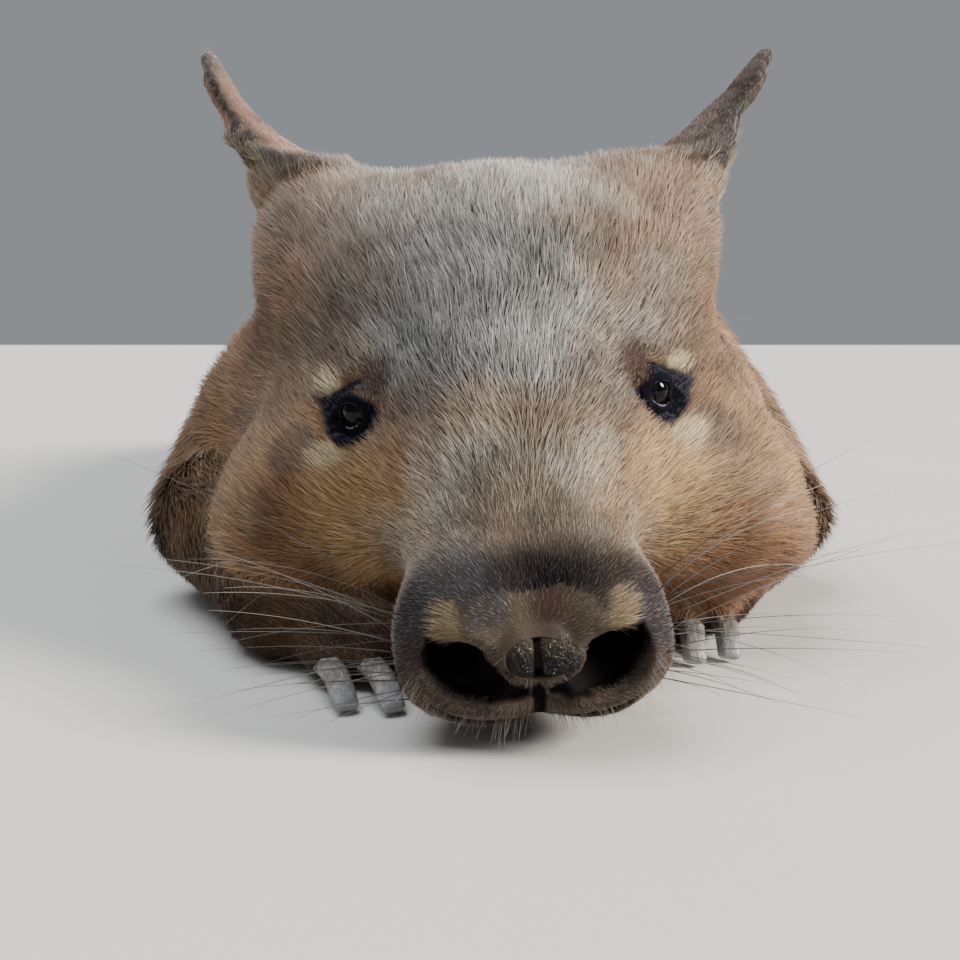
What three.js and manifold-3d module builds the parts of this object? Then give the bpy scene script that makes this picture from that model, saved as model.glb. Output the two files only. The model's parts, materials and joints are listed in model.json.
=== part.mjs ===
// A hairy-nosed wombat lying on its belly with its chin down between its forepaws, life size.
// Millimetres. The nose points along -Y, +Z is up, and the animal's left side is +X.
// While it is modelled, y is the distance behind the tip of the nose and the floor is z = 0.
// At the end the group is shifted so that the floor under the middle of the animal is the origin.
import * as THREE from "three";
import { mergeVertices } from "three/addons/utils/BufferGeometryUtils.js";
import Module from "manifold-3d";

const wasm = await Module();
wasm.setup();

// Driving dimensions
const GAP = 0.3; // clear space between pieces that touch
const BODY_LENGTH = 765; // nose to rump as it lies
const BACK_HEIGHT = 224; // top of the back above the floor
const BELLY_HALF_WIDTH = 148;
const SHOULDER_HALF_WIDTH = 130;
const HEAD_LENGTH = 190; // nose to nape
const HEAD_TOP = 190; // crown above the floor
const CHEEK_HALF_WIDTH = 100;
const MUZZLE_HALF_WIDTH = 41; // across the blunt end of the snout
const EYE_RADIUS = 8;
const EYE_BEHIND_NOSE = 88;
const EYE_HEIGHT = 94;
const EAR_THICKNESS = 6; // half of the leaf's depth above the flare, seen from the front
const EAR_FLARE = 18; // how much wider half of the root is
const EAR_HALF_WIDTH = 18; // of the leaf, seen from the side
const FORE_CLAW_LENGTH = 22;
const HIND_CLAW_LENGTH = 19;
const TOE_SPACING = 13;
const TAIL_LENGTH = 32;

// How the head is held: moved and turned to the animal's left, and rolled with the left side up
const HEAD_SHIFT = 6;
const HEAD_YAW = THREE.MathUtils.degToRad(1.5);
const HEAD_ROLL = THREE.MathUtils.degToRad(-4);
const HEAD_PIVOT = new THREE.Vector3(0, HEAD_LENGTH - 5, 100);

// Where the flesh of the trunk is parted, behind the nose
const NAPE_CUT = HEAD_LENGTH + 8; // between head and neck
const WITHERS_CUT = 265; // between neck and torso

const UP = new THREE.Vector3(0, 0, 1);
const at = (x, y, z) => new THREE.Vector3(x, y, z);

// Fields: functions of a point that are negative inside the flesh and roughly the distance from its skin.

/** An ellipsoid of flesh whose back end is lifted by `lift` radians. */
function mass(centre, radii, lift = 0) {
  const [cx, cy, cz] = centre;
  const [rx, ry, rz] = radii;
  const c = Math.cos(lift);
  const s = Math.sin(lift);
  return (x, y, z) => {
    const dx = x - cx;
    const dy = (y - cy) * c + (z - cz) * s;
    const dz = (z - cz) * c - (y - cy) * s;
    const k0 = Math.hypot(dx / rx, dy / ry, dz / rz);
    const k1 = Math.hypot(dx / rx ** 2, dy / ry ** 2, dz / rz ** 2);
    return k1 > 0 ? (k0 * (k0 - 1)) / k1 : -Math.min(rx, ry, rz);
  };
}

/** A bone with its muscle: a capsule whose radius goes from `r0` at `a` to `r1` at `b`. */
function taper(a, b, r0, r1) {
  const axis = b.clone().sub(a);
  const lengthSq = axis.lengthSq();
  return (x, y, z) => {
    const dx = x - a.x;
    const dy = y - a.y;
    const dz = z - a.z;
    const along = (dx * axis.x + dy * axis.y + dz * axis.z) / lengthSq;
    const t = THREE.MathUtils.clamp(along, 0, 1);
    const away = Math.hypot(dx - t * axis.x, dy - t * axis.y, dz - t * axis.z);
    return away - THREE.MathUtils.lerp(r0, r1, t);
  };
}

/** Both sides of a mass that is given for the left side. */
const paired = (field) => (x, y, z) => field(Math.abs(x), y, z);

/** Masses run together, with the creases between them filled over about `soft` millimetres. */
function blend(soft, ...fields) {
  return (x, y, z) => {
    let d = fields[0](x, y, z);
    for (let i = 1; i < fields.length; i++) {
      const e = fields[i](x, y, z);
      const h = Math.max(soft - Math.abs(d - e), 0) / soft;
      d = Math.min(d, e) - (h * h * soft) / 4;
    }
    return d;
  };
}

/** A field moved with a matrix. */
function posed(field, matrix) {
  const back = matrix.clone().invert();
  const p = new THREE.Vector3();
  return (x, y, z) => {
    p.set(x, y, z).applyMatrix4(back);
    return field(p.x, p.y, p.z);
  };
}

/** Where a ray from inside the flesh leaves it, `grow` millimetres outside the skin. */
function skinPoint(field, from, direction, grow = 0, reach = 400) {
  const stride = 4;
  const point = (t) => from.clone().addScaledVector(direction, t);
  const value = (t) => field(...point(t)) - grow;
  let far = 0;
  while (far < reach && value(far) < 0) far += stride;
  if (far >= reach) return point(reach);
  let near = Math.max(far - stride, 0);
  for (let halving = 0; halving < 12; halving++) {
    const middle = (near + far) / 2;
    if (value(middle) < 0) near = middle;
    else far = middle;
  }
  return point((near + far) / 2);
}

// Solids

/** A vertex of a unit shape, rounded so that its copies along a seam or at a pole are the same. */
function unitVertex(position, i) {
  const exact = (v) => Math.round(v * 1e6) / 1e6 + 0;
  return at(exact(position.getX(i)), exact(position.getY(i)), exact(position.getZ(i)));
}

/** A closed geometry as a solid that can be joined and cut, with its faces turned outwards. */
function solid(geometry) {
  const bare = new THREE.BufferGeometry();
  bare.setAttribute("position", geometry.getAttribute("position"));
  bare.setIndex(geometry.index);
  const merged = mergeVertices(bare, 1e-3);
  const triangles = new Uint32Array(merged.index.array);
  const make = () =>
    new wasm.Manifold(
      new wasm.Mesh({
        numProp: 3,
        vertProperties: merged.attributes.position.array,
        triVerts: triangles,
      }),
    );
  const made = make();
  if (made.volume() > 0) return made;
  for (let i = 0; i < triangles.length; i += 3) {
    [triangles[i], triangles[i + 1]] = [triangles[i + 1], triangles[i]];
  }
  return make();
}

/** The faces of a solid's largest closed surface: a scrap that a cut left loose is dropped. */
function geometryOf(body) {
  const mesh = body
    .decompose()
    .reduce((a, b) => (b.volume() > a.volume() ? b : a))
    .getMesh();
  const geometry = new THREE.BufferGeometry();
  geometry.setAttribute("position", new THREE.BufferAttribute(mesh.vertProperties, 3));
  geometry.setIndex(new THREE.BufferAttribute(mesh.triVerts, 1));
  geometry.computeVertexNormals();
  return geometry;
}

/**
 * A closed skin over a field. The vertices of a sphere are spread along a spine and slid outwards
 * until they meet the skin. Its two poles are the ends of the spine, and `ends` says how much of
 * the skin's length, in millimetres, is given to the rounding at each end.
 */
function wrap(field, spine, { around, along, ends, grow = 0, reach = 400 }) {
  const line = new THREE.CatmullRomCurve3(spine);
  const length = line.getLength();
  const total = ends[0] + length + ends[1];
  const sphere = new THREE.SphereGeometry(1, around, along);
  const position = sphere.getAttribute("position");
  for (let i = 0; i < position.count; i++) {
    const n = unitVertex(position, i);
    const travel = (Math.acos(THREE.MathUtils.clamp(-n.y, -1, 1)) / Math.PI) * total;
    const t = THREE.MathUtils.clamp((travel - ends[0]) / length, 0, 1);
    let lean = 0; // from -1, straight out of the front end, to 1, straight out of the back end
    if (travel < ends[0]) lean = travel / ends[0] - 1;
    if (travel > total - ends[1]) lean = 1 - (total - travel) / ends[1];
    const tangent = line.getTangentAt(t);
    const side = tangent.clone().cross(UP).normalize();
    const top = side.clone().cross(tangent);
    const turn = Math.atan2(n.z, n.x);
    const radial = side.multiplyScalar(Math.cos(turn)).addScaledVector(top, Math.sin(turn));
    const angle = (lean * Math.PI) / 2;
    const direction = radial
      .multiplyScalar(Math.cos(angle))
      .addScaledVector(tangent, Math.sin(angle));
    const p = skinPoint(field, line.getPointAt(t), direction, grow, reach);
    position.setXYZ(i, ...p);
  }
  return solid(sphere);
}

/**
 * A tapering piece along a curve. `size(t)` gives its half size across `wide` and its half size
 * square to that, with t from 0 to 1 along the curve.
 */
function loft(points, size, { around = 12, along = 10, wide = UP } = {}) {
  const line = new THREE.CatmullRomCurve3(points);
  const tube = new THREE.CylinderGeometry(1, 1, 1, around, along);
  const position = tube.getAttribute("position");
  for (let i = 0; i < position.count; i++) {
    const n = unitVertex(position, i);
    const t = 0.5 - n.y;
    const tangent = line.getTangentAt(t);
    const square = tangent.clone().cross(wide).normalize();
    const broad = square.clone().cross(tangent);
    const [halfBroad, halfSquare] = size(t);
    const p = line
      .getPointAt(t)
      .addScaledVector(broad, n.x * halfBroad)
      .addScaledVector(square, n.z * halfSquare);
    position.setXYZ(i, ...p);
  }
  return solid(tube);
}

/** An ellipsoid solid. Its Z radius lies along `axis`, and its X radius across the animal. */
function ball(centre, radii, around = 20, axis = UP) {
  const sphere = new THREE.SphereGeometry(1, around, Math.round(around * 0.7));
  const depth = axis.clone().normalize();
  const tall = UP.clone().addScaledVector(depth, -UP.dot(depth));
  if (tall.length() < 0.1) tall.set(0, 1, 0);
  tall.normalize();
  const basis = new THREE.Matrix4().makeBasis(tall.clone().cross(depth), tall, depth);
  sphere.applyMatrix4(basis.scale(at(...radii)).setPosition(centre));
  return solid(sphere);
}

/** A box solid between two corners. */
function block(low, high) {
  const size = high.map((v, i) => v - low[i]);
  const centre = high.map((v, i) => (v + low[i]) / 2);
  return solid(new THREE.BoxGeometry(...size).translate(...centre));
}

/** A solid with others cut away from it. */
const without = (body, ...tools) => tools.reduce((rest, tool) => rest.subtract(tool), body);

/** The part of a solid ahead of a plane through `point`, half of `slit` clear of it. */
function ahead(body, point, normal, slit = GAP) {
  const n = normal.clone().normalize();
  return body.trimByPlane(n.toArray(), point.dot(n) + slit / 2);
}

const FLOOR = block([-400, -200, -200], [400, 1000, 0]);

// Flesh of the head, facing straight ahead
const skull = blend(
  22,
  mass([0, 152, HEAD_TOP - 67], [87, 62, 62]),
  mass([0, 106, 92], [46, 60, 43], 0.6),
  paired(mass([62, 164, HEAD_TOP - 34], [34, 30, 32])),
  paired(mass([CHEEK_HALF_WIDTH - 48, 138, 62], [48, 60, 52])),
  paired(mass([74, 138, 44], [44, 58, 40])),
  paired(taper(at(10, 38, 43), at(16, 104, 72), 23, 38)),
  paired(mass([MUZZLE_HALF_WIDTH - 20, 20, 33], [20, 19, 21])),
  paired(mass([14, 20, 20], [19, 18, 9])),
  mass([0, 74, 28], [27, 60, 22]),
);

const headPose = new THREE.Matrix4()
  .makeTranslation(HEAD_PIVOT.clone().setX(HEAD_SHIFT))
  .multiply(new THREE.Matrix4().makeRotationZ(HEAD_YAW))
  .multiply(new THREE.Matrix4().makeRotationY(HEAD_ROLL))
  .multiply(new THREE.Matrix4().makeTranslation(HEAD_PIVOT.clone().negate()));

/** Moves a solid that was made on the straight head to where the head is held. */
const onHead = (body) => body.transform(headPose.elements);

// Flesh of the neck and trunk: the ruff of loose skin, the nape, the chest, the belly and the rump
const trunk = blend(
  44,
  mass([0, 190, 72], [128, 52, 68]),
  mass([0, 226, 104], [98, 58, 82]),
  mass([0, 320, 92], [SHOULDER_HALF_WIDTH, 120, 104]),
  mass([0, 490, BACK_HEIGHT - 130], [BELLY_HALF_WIDTH - 6, 215, 126]),
  mass([0, BODY_LENGTH - 150, 98], [BELLY_HALF_WIDTH - 14, 146, 120]),
);
const flesh = blend(24, posed(skull, headPose), trunk);

const HEAD_SPINE = [at(12, 26, 36), at(4, 100, 70), at(0, 160, 92), at(0, 240, 98)];
const NECK_SPINE = [at(0, 150, 94), at(0, 320, 98)];
const TORSO_SPINE = [at(0, 220, 98), at(0, 400, 98), at(0, BODY_LENGTH - 140, 98)];

/** Head, neck and torso, `grow` millimetres proud of the skin and `slit` apart where they meet. */
function trunkPieces(grow, slit) {
  const head = wrap(flesh, HEAD_SPINE, { around: 40, along: 34, ends: [34, 16], grow, reach: 220 });
  const neck = wrap(flesh, NECK_SPINE, { around: 40, along: 12, ends: [20, 20], grow, reach: 260 });
  const torso = wrap(flesh, TORSO_SPINE, { around: 32, along: 26, ends: [30, 130], grow });
  const nape = at(0, NAPE_CUT, 0);
  const withers = at(0, WITHERS_CUT, 0);
  return {
    head: ahead(head, nape, at(0, -1, 0), slit),
    neck: ahead(ahead(neck, nape, at(0, 1, 0), slit), withers, at(0, -1, 0), slit),
    torso: ahead(torso, withers, at(0, 1, 0), slit),
  };
}
const plain = trunkPieces(0, GAP);
const trunkCut = wasm.Manifold.union(Object.values(trunkPieces(GAP, -GAP)));

// Details of the head

/** Where an eye's centre lies: just inside the skin of the temple. */
function eyeCentre(sign) {
  const axis = at(sign * 0.68, -0.72, 0.1).normalize();
  const skin = at(sign * 50, EYE_BEHIND_NOSE, EYE_HEIGHT).addScaledVector(axis, -30);
  return { axis, centre: skinPoint(skull, skin, axis).addScaledVector(axis, -EYE_RADIUS * 0.75) };
}

/** Lids close round the ball and leave an almond of it bare. */
function lidded(head, { axis, centre }) {
  const lid = EYE_RADIUS + 2.2;
  const opening = centre.clone().addScaledVector(axis, EYE_RADIUS);
  return without(
    head.add(onHead(ball(centre, [lid, lid, lid], 18))),
    onHead(ball(centre, Array(3).fill(EYE_RADIUS + GAP), 16)),
    onHead(ball(opening, [5.4, 5, 6.5], 14, axis)),
  );
}

/** A nostril: a hole at the top of a broad shallow hollow beside the nose pad. */
function nostril(sign) {
  const hollow = ball(at(sign * 22, -2, 26), [15, 8, 11], 16);
  const hole = ball(at(sign * 23, 4, 30), [9, 10, 5.5], 12);
  return onHead(hollow.add(hole));
}

/** The line of the mouth, which runs back from under the nose to a corner below the eye. */
function mouthLine() {
  const half = [[14, 9, 12.5], [30, 36, 16], [36, 60, 24]];
  const route = [
    ...half.toReversed().map(([x, y, z]) => at(-x, y, z)),
    at(0, 5, 11.5),
    ...half.map(([x, y, z]) => at(x, y, z)),
  ];
  return onHead(loft(route, () => [0.8, 7], { around: 6, along: 16 }));
}

/** The bare pad of the nose: two lobes side by side, with the groove of the lip between them. */
function nosePad(grow) {
  const lobe = (sign) => ball(at(sign * 4.6, 3.5, 31), [7.2, 6, 7].map((r) => r + grow), 12);
  return onHead(lobe(1).add(lobe(-1)));
}
const philtrum = onHead(block([-0.7, -14, 9], [0.7, 5, 36]));

function makeHead() {
  const head = [1, -1].reduce((rest, sign) => lidded(rest, eyeCentre(sign)), plain.head);
  return without(head, nostril(1), nostril(-1), mouthLine(), nosePad(GAP), philtrum, FLOOR);
}

/**
 * An ear: a leaf seen almost edge on, which flares into the crown up to `flare` of its length and
 * is hollowed by a cup that opens to the side.
 */
function makeEar({ route, flare }, sign) {
  const spread = (t) => 1 - THREE.MathUtils.smoothstep(t, 0.28, flare);
  const outer = (t) => [
    1.4 + EAR_THICKNESS * Math.sqrt(1 - t) + EAR_FLARE * spread(t),
    1 + EAR_HALF_WIDTH * (1 - t) ** 0.65,
  ];
  const inner = (t) => {
    const [thick, wide] = outer(0.42 + 0.55 * t);
    return [thick * 0.75, wide * 0.72];
  };
  const outwards = at(sign, 0.05, -0.2).normalize();
  const line = new THREE.CatmullRomCurve3(route);
  const cup = [0.42, 0.56, 0.7, 0.84, 0.97].map((t) =>
    line.getPointAt(t).addScaledVector(outwards, 0.62 * outer(t)[0]),
  );
  const mesh = { around: 14, along: 10 };
  return without(loft(route, outer, mesh), loft(cup, inner, mesh), trunkCut);
}

// Each ear as it is held, from its root, sunk in the head, to its tip
const EARS = {
  left: { route: [at(52, 160, 140), at(76, 166, 172), at(97, 176, 202), at(111, 182, 217), at(121, 186, 234)], flare: 0.85 },
  right: { route: [at(-46, 160, 142), at(-70, 166, 172), at(-95, 176, 201), at(-109, 182, 217), at(-115, 185, 233)], flare: 0.79 },
};

// Limbs, as they are folded under the lying animal
const ARMS = {
  left: { shoulder: at(98, 272, 98), elbow: at(117, 200, 41), wrist: at(86, 132, 18), knuckles: at(66, 108, 12), aim: at(-0.1, -1, 0) },
  right: { shoulder: at(-94, 272, 92), elbow: at(-107, 182, 38), wrist: at(-72, 100, 18), knuckles: at(-27, 66, 12), aim: at(0.45, -1, 0) },
};

/** A toe or pad row across a foot: the places of its `count` toes, from the inside out. */
function toeRow(knuckles, aim, count) {
  const across = aim.clone().normalize().cross(UP);
  return Array.from({ length: count }, (_, i) => {
    const out = i - (count - 1) / 2;
    return knuckles
      .clone()
      .addScaledVector(across, out * TOE_SPACING)
      .addScaledVector(aim, -1.8 * out * out);
  });
}

/** A toe: a short thick finger from the knuckle. */
function makeToe(knuckle, aim, grow = 0) {
  const back = knuckle.clone().addScaledVector(aim, -14);
  const tip = knuckle.clone().addScaledVector(aim, 7).setZ(8);
  const field = taper(back, tip, 9, 6);
  return wrap(field, [back, tip], { around: 8, along: 5, ends: [10, 10], grow, reach: 40 });
}

/** A claw: a blunt horn that curves down from the toe to the floor. */
function makeClaw(knuckle, aim, length) {
  const on = (s, z) => knuckle.clone().addScaledVector(aim, s).setZ(z);
  const route = [on(4, 9), on(8 + length * 0.4, 9.5), on(8 + length * 0.8, 6), on(8 + length, 2)];
  return loft(route, (t) => [3.4 - 1.6 * t, 5.2 - 1.2 * t], { around: 6, along: 4 });
}

const fur = (color) => new THREE.MeshStandardMaterial({ color, roughness: 0.9, metalness: 0 });
const bare = (color, roughness) => new THREE.MeshStandardMaterial({ color, roughness, metalness: 0 });
const MATERIALS = {
  face: fur(0x8a7763),
  coat: fur(0x7d5e43),
  legs: fur(0x6b4c34),
  ears: fur(0x6a5648),
  eye: bare(0x0b0a0c, 0.12),
  nose: bare(0x2a2220, 0.55),
  claw: bare(0x9a9488, 0.45),
};

const wombat = new THREE.Group();

/** Puts a solid in the group as a named mesh. */
function add(name, body, material) {
  const mesh = new THREE.Mesh(geometryOf(body), material);
  mesh.name = name;
  wombat.add(mesh);
}

/**
 * A foot with its toes, and a claw on each of them. `makePalm(grow)` is the foot without its toes,
 * and `trim` cuts it off where the leg begins.
 */
function addFoot(name, makePalm, { knuckles, aim, count, claw, cuts, trim = (foot) => foot }) {
  const places = toeRow(knuckles, aim, count);
  const whole = (grow) =>
    wasm.Manifold.union([makePalm(grow), ...places.map((place) => makeToe(place, aim, grow))]);
  add(name, without(trim(whole(0)), ...cuts, FLOOR), MATERIALS.legs);
  const skin = whole(GAP);
  places.forEach((place, i) => {
    const horn = makeClaw(place, aim, claw * (1 - 0.05 * Math.abs(i - (count - 1) / 2)));
    add(`${name}_claw_${i + 1}`, without(horn, skin, ...cuts, FLOOR), MATERIALS.claw);
  });
}

function addForeleg(side) {
  const { shoulder, elbow, wrist, knuckles, aim } = ARMS[side];
  const arm = blend(
    10,
    taper(shoulder, elbow, 46, 38),
    taper(elbow, wrist, 38, 23),
    taper(wrist, knuckles, 23, 13),
  );
  const down = elbow.clone().sub(shoulder).normalize();
  const forwards = wrist.clone().sub(elbow).normalize();
  const bend = down.clone().add(forwards);
  const upper = wrap(arm, [shoulder, elbow], { around: 16, along: 10, ends: [60, 50], reach: 90 });
  const lower = wrap(arm, [elbow, wrist], { around: 16, along: 10, ends: [40, 30], reach: 90 });
  add(
    `upper_arm_${side}`,
    without(ahead(upper, elbow, bend.clone().negate()), trunkCut, FLOOR),
    MATERIALS.legs,
  );
  const forearm = ahead(ahead(lower, elbow, bend), wrist, forwards.clone().negate());
  add(`forearm_${side}`, without(forearm, trunkCut, FLOOR), MATERIALS.legs);
  const palmSpine = [elbow.clone().lerp(wrist, 0.7), wrist, knuckles];
  const palm = (grow) =>
    wrap(arm, palmSpine, { around: 12, along: 7, ends: [12, 16], grow, reach: 60 });
  addFoot(`forepaw_${side}`, palm, {
    knuckles, aim, count: 5, claw: FORE_CLAW_LENGTH, cuts: [trunkCut],
    trim: (foot) => ahead(foot, wrist, forwards),
  });
}

function addHindleg(side, sign) {
  const hip = at(sign * 97, BODY_LENGTH - 208, 87);
  const thighField = mass(hip.toArray(), [62, 108, 88]);
  const thighSpine = [hip.clone().add(at(0, -50, 0)), hip.clone().add(at(0, 50, 0))];
  const thigh = (grow) =>
    wrap(thighField, thighSpine, { around: 20, along: 14, ends: [70, 70], grow });
  add(`thigh_${side}`, without(thigh(0), trunkCut, FLOOR), MATERIALS.legs);
  const heel = at(sign * 120, BODY_LENGTH - 205, 18);
  const knuckles = at(sign * 128, BODY_LENGTH - 305, 12);
  const aim = knuckles.clone().sub(heel).setZ(0).normalize();
  const sole = taper(heel, knuckles, 22, 17);
  const foot = (grow) =>
    wrap(sole, [heel, knuckles], { around: 12, along: 9, ends: [16, 16], grow, reach: 60 });
  addFoot(`hind_foot_${side}`, foot, {
    knuckles, aim, count: 4, claw: HIND_CLAW_LENGTH, cuts: [trunkCut, thigh(GAP)],
  });
}

add("head", makeHead(), MATERIALS.face);
add("nose", without(nosePad(0), philtrum), MATERIALS.nose);
add("neck", without(plain.neck, FLOOR), MATERIALS.coat);
add("torso", without(plain.torso, FLOOR), MATERIALS.coat);
const tailRoute = [at(0, BODY_LENGTH - 45, 132), at(0, BODY_LENGTH - 6, 120), at(0, BODY_LENGTH + 10, 120 - TAIL_LENGTH)];
add("tail", without(loft(tailRoute, (t) => [15 - 9 * t, 15 - 9 * t]), trunkCut), MATERIALS.coat);
for (const [side, sign] of [["left", 1], ["right", -1]]) {
  add(`ear_${side}`, makeEar(EARS[side], sign), MATERIALS.ears);
  const { centre } = eyeCentre(sign);
  add(`eye_${side}`, onHead(ball(centre, Array(3).fill(EYE_RADIUS), 16)), MATERIALS.eye);
  addForeleg(side);
  addHindleg(side, sign);
}

// The floor under the middle of the animal becomes the origin
const bounds = new THREE.Box3().setFromObject(wombat);
const middle = bounds.getCenter(new THREE.Vector3());
wombat.position.set(-middle.x, -middle.y, -bounds.min.z);

export default wombat;
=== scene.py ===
"""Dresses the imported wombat: one skin, its coat, eyes, nose pad, whiskers and claws."""

import sys

import json
import logging
import math
from collections.abc import Sequence
from dataclasses import dataclass, field
from enum import Enum

import bmesh
import bpy
import numpy as np
from mathutils import Matrix, Vector
from mathutils.bvhtree import BVHTree

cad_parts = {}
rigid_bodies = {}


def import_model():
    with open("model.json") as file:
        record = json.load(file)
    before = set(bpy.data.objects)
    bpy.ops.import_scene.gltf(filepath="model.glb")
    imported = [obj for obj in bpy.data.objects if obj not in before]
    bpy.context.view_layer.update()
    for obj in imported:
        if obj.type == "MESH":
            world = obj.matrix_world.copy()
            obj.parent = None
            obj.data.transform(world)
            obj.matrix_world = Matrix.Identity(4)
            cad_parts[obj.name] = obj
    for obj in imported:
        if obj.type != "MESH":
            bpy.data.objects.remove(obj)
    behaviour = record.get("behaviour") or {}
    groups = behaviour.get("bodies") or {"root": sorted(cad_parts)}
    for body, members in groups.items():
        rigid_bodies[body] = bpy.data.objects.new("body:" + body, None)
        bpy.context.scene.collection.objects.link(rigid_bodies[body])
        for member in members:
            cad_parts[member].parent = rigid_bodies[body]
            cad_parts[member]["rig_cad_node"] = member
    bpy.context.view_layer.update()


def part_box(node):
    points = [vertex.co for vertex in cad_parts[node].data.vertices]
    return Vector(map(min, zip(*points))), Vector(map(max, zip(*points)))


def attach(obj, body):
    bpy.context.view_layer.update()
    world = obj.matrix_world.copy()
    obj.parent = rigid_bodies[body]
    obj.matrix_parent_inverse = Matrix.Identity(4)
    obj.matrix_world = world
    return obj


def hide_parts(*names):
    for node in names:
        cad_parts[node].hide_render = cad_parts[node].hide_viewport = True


log = logging.getLogger("wombat")
MM = 0.001
Colour = tuple[float, float, float]
Place = tuple[float, float, float]
SIDES = {"left": 1.0, "right": -1.0}


class Slot(Enum):
    """The record's material slots."""

    FACE = "face_fur"
    BODY = "body_fur"
    LEG = "leg_fur"
    EAR = "ear_fur"
    EYE = "eye"
    NOSE = "nose_skin"
    CLAW = "claw"


# Arrays


def step(low: float, high: float, value: np.ndarray) -> np.ndarray:
    """Rises smoothly from 0 at `low` to 1 at `high`."""
    t = np.clip((value - low) / (high - low), 0.0, 1.0)
    return t * t * (3.0 - 2.0 * t)


def unit(vectors: np.ndarray) -> np.ndarray:
    """Vectors at length one."""
    return vectors / np.maximum(np.linalg.norm(vectors, axis=-1, keepdims=True), 1e-12)


def mix(a: np.ndarray, b: np.ndarray | Sequence[float], share: np.ndarray) -> np.ndarray:
    """Rows of `a` moved towards `b` by each row's share."""
    return a + (np.asarray(b, float) - a) * share[:, None]


def tangent(vectors: np.ndarray, normals: np.ndarray) -> np.ndarray:
    """Vectors laid along the surface, at length one."""
    across = np.sum(vectors * normals, axis=1, keepdims=True)
    return unit(vectors - normals * across)


def grain(points: np.ndarray, size: float, seed: int) -> np.ndarray:
    """Smooth random values over space.

    Args:
        points: Places in metres.
        size: Distance between two bumps of the pattern, in metres.
        seed: Picks the pattern.

    Returns:
        One value from 0 to 1 a point.
    """
    cell = np.floor(points / size).astype(np.int64)
    t = points / size - cell
    t = t * t * (3.0 - 2.0 * t)
    total = np.zeros(len(points))
    for corner in np.ndindex(2, 2, 2):
        x, y, z = (cell + np.array(corner)).T
        mixed = (x * 73856093) ^ (y * 19349663) ^ (z * 83492791) ^ (seed * 2654435761)
        mixed = mixed & 0xFFFFFFFF
        mixed = ((mixed ^ (mixed >> 15)) * 0x2C1B3C6D) & 0xFFFFFFFF
        mixed = ((mixed ^ (mixed >> 12)) * 0x297A2D39) & 0xFFFFFFFF
        mixed = mixed ^ (mixed >> 15)
        share = np.prod(np.where(corner, t, 1.0 - t), axis=1)
        total += share * mixed / 2**32
    return total


def within(outline: Sequence[tuple[float, float]], side: np.ndarray, height: np.ndarray) -> np.ndarray:
    """How deep inside a closed outline places lie.

    Args:
        outline: The outline's corners, in order.
        side: First coordinate of each place.
        height: Second coordinate of each place.

    Returns:
        Distance to the outline, negative outside it.
    """
    nearest = np.full(len(side), np.inf)
    inside = np.zeros(len(side), bool)
    for (ax, az), (bx, bz) in zip(outline, (*outline[1:], outline[0])):
        dx, dz = bx - ax, bz - az
        t = np.clip(((side - ax) * dx + (height - az) * dz) / (dx * dx + dz * dz), 0.0, 1.0)
        nearest = np.minimum(nearest, np.hypot(side - ax - t * dx, height - az - t * dz))
        if dz:
            inside ^= ((az > height) != (bz > height)) & (side < ax + (height - az) / dz * dx)
    return np.where(inside, nearest, -nearest)


def relax(values: np.ndarray, edges: np.ndarray, pull: np.ndarray, rounds: int) -> np.ndarray:
    """Draws each vertex's value towards its neighbours' mean.

    Args:
        values: One row a vertex.
        edges: Vertex pairs.
        pull: How far each vertex goes in a round, from 0 to 1.
        rounds: How often.

    Returns:
        The evened values.
    """
    a, b = edges.T
    count = np.maximum(np.bincount(a, minlength=len(values)) + np.bincount(b, minlength=len(values)), 1)
    values = values.astype(float)
    for _ in range(rounds):
        for axis in range(values.shape[1]):
            column = values[:, axis]
            total = np.bincount(a, column[b], len(values)) + np.bincount(b, column[a], len(values))
            values[:, axis] = column + pull * (total / count - column)
    return values


def read(collection: bpy.types.bpy_prop_collection, name: str, width: int, kind: type) -> np.ndarray:
    """One attribute of a mesh's parts, as rows."""
    flat = np.empty(len(collection) * width, kind)
    collection.foreach_get(name, flat)
    return flat.reshape(-1, width)


def points_of(mesh: bpy.types.Mesh) -> np.ndarray:
    """A mesh's vertex places."""
    return read(mesh.vertices, "co", 3, np.float32).astype(float)


def normals_of(mesh: bpy.types.Mesh) -> np.ndarray:
    """A mesh's vertex normals."""
    return read(mesh.vertex_normals, "vector", 3, np.float32).astype(float)


def edges_of(mesh: bpy.types.Mesh) -> np.ndarray:
    """A mesh's edges as vertex pairs."""
    return read(mesh.edges, "vertices", 2, np.int32)


def set_points(mesh: bpy.types.Mesh, points: np.ndarray) -> None:
    """Moves a mesh's vertices."""
    mesh.vertices.foreach_set("co", points.astype(np.float32).ravel())
    mesh.update()


def set_tone(mesh: bpy.types.Mesh, tones: np.ndarray, name: str = "tone") -> None:
    """Stores one colour a vertex."""
    layer = mesh.color_attributes.new(name, "FLOAT_COLOR", "POINT")
    rgba = np.ones((len(tones), 4), np.float32)
    rgba[:, :3] = np.clip(tones, 0.0, 1.0)
    layer.data.foreach_set("color", rgba.ravel())


def set_value(mesh: bpy.types.Mesh, values: np.ndarray, name: str) -> None:
    """Stores one number a vertex."""
    layer = mesh.attributes.new(name, "FLOAT", "POINT")
    layer.data.foreach_set("value", values.astype(np.float32))


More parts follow.
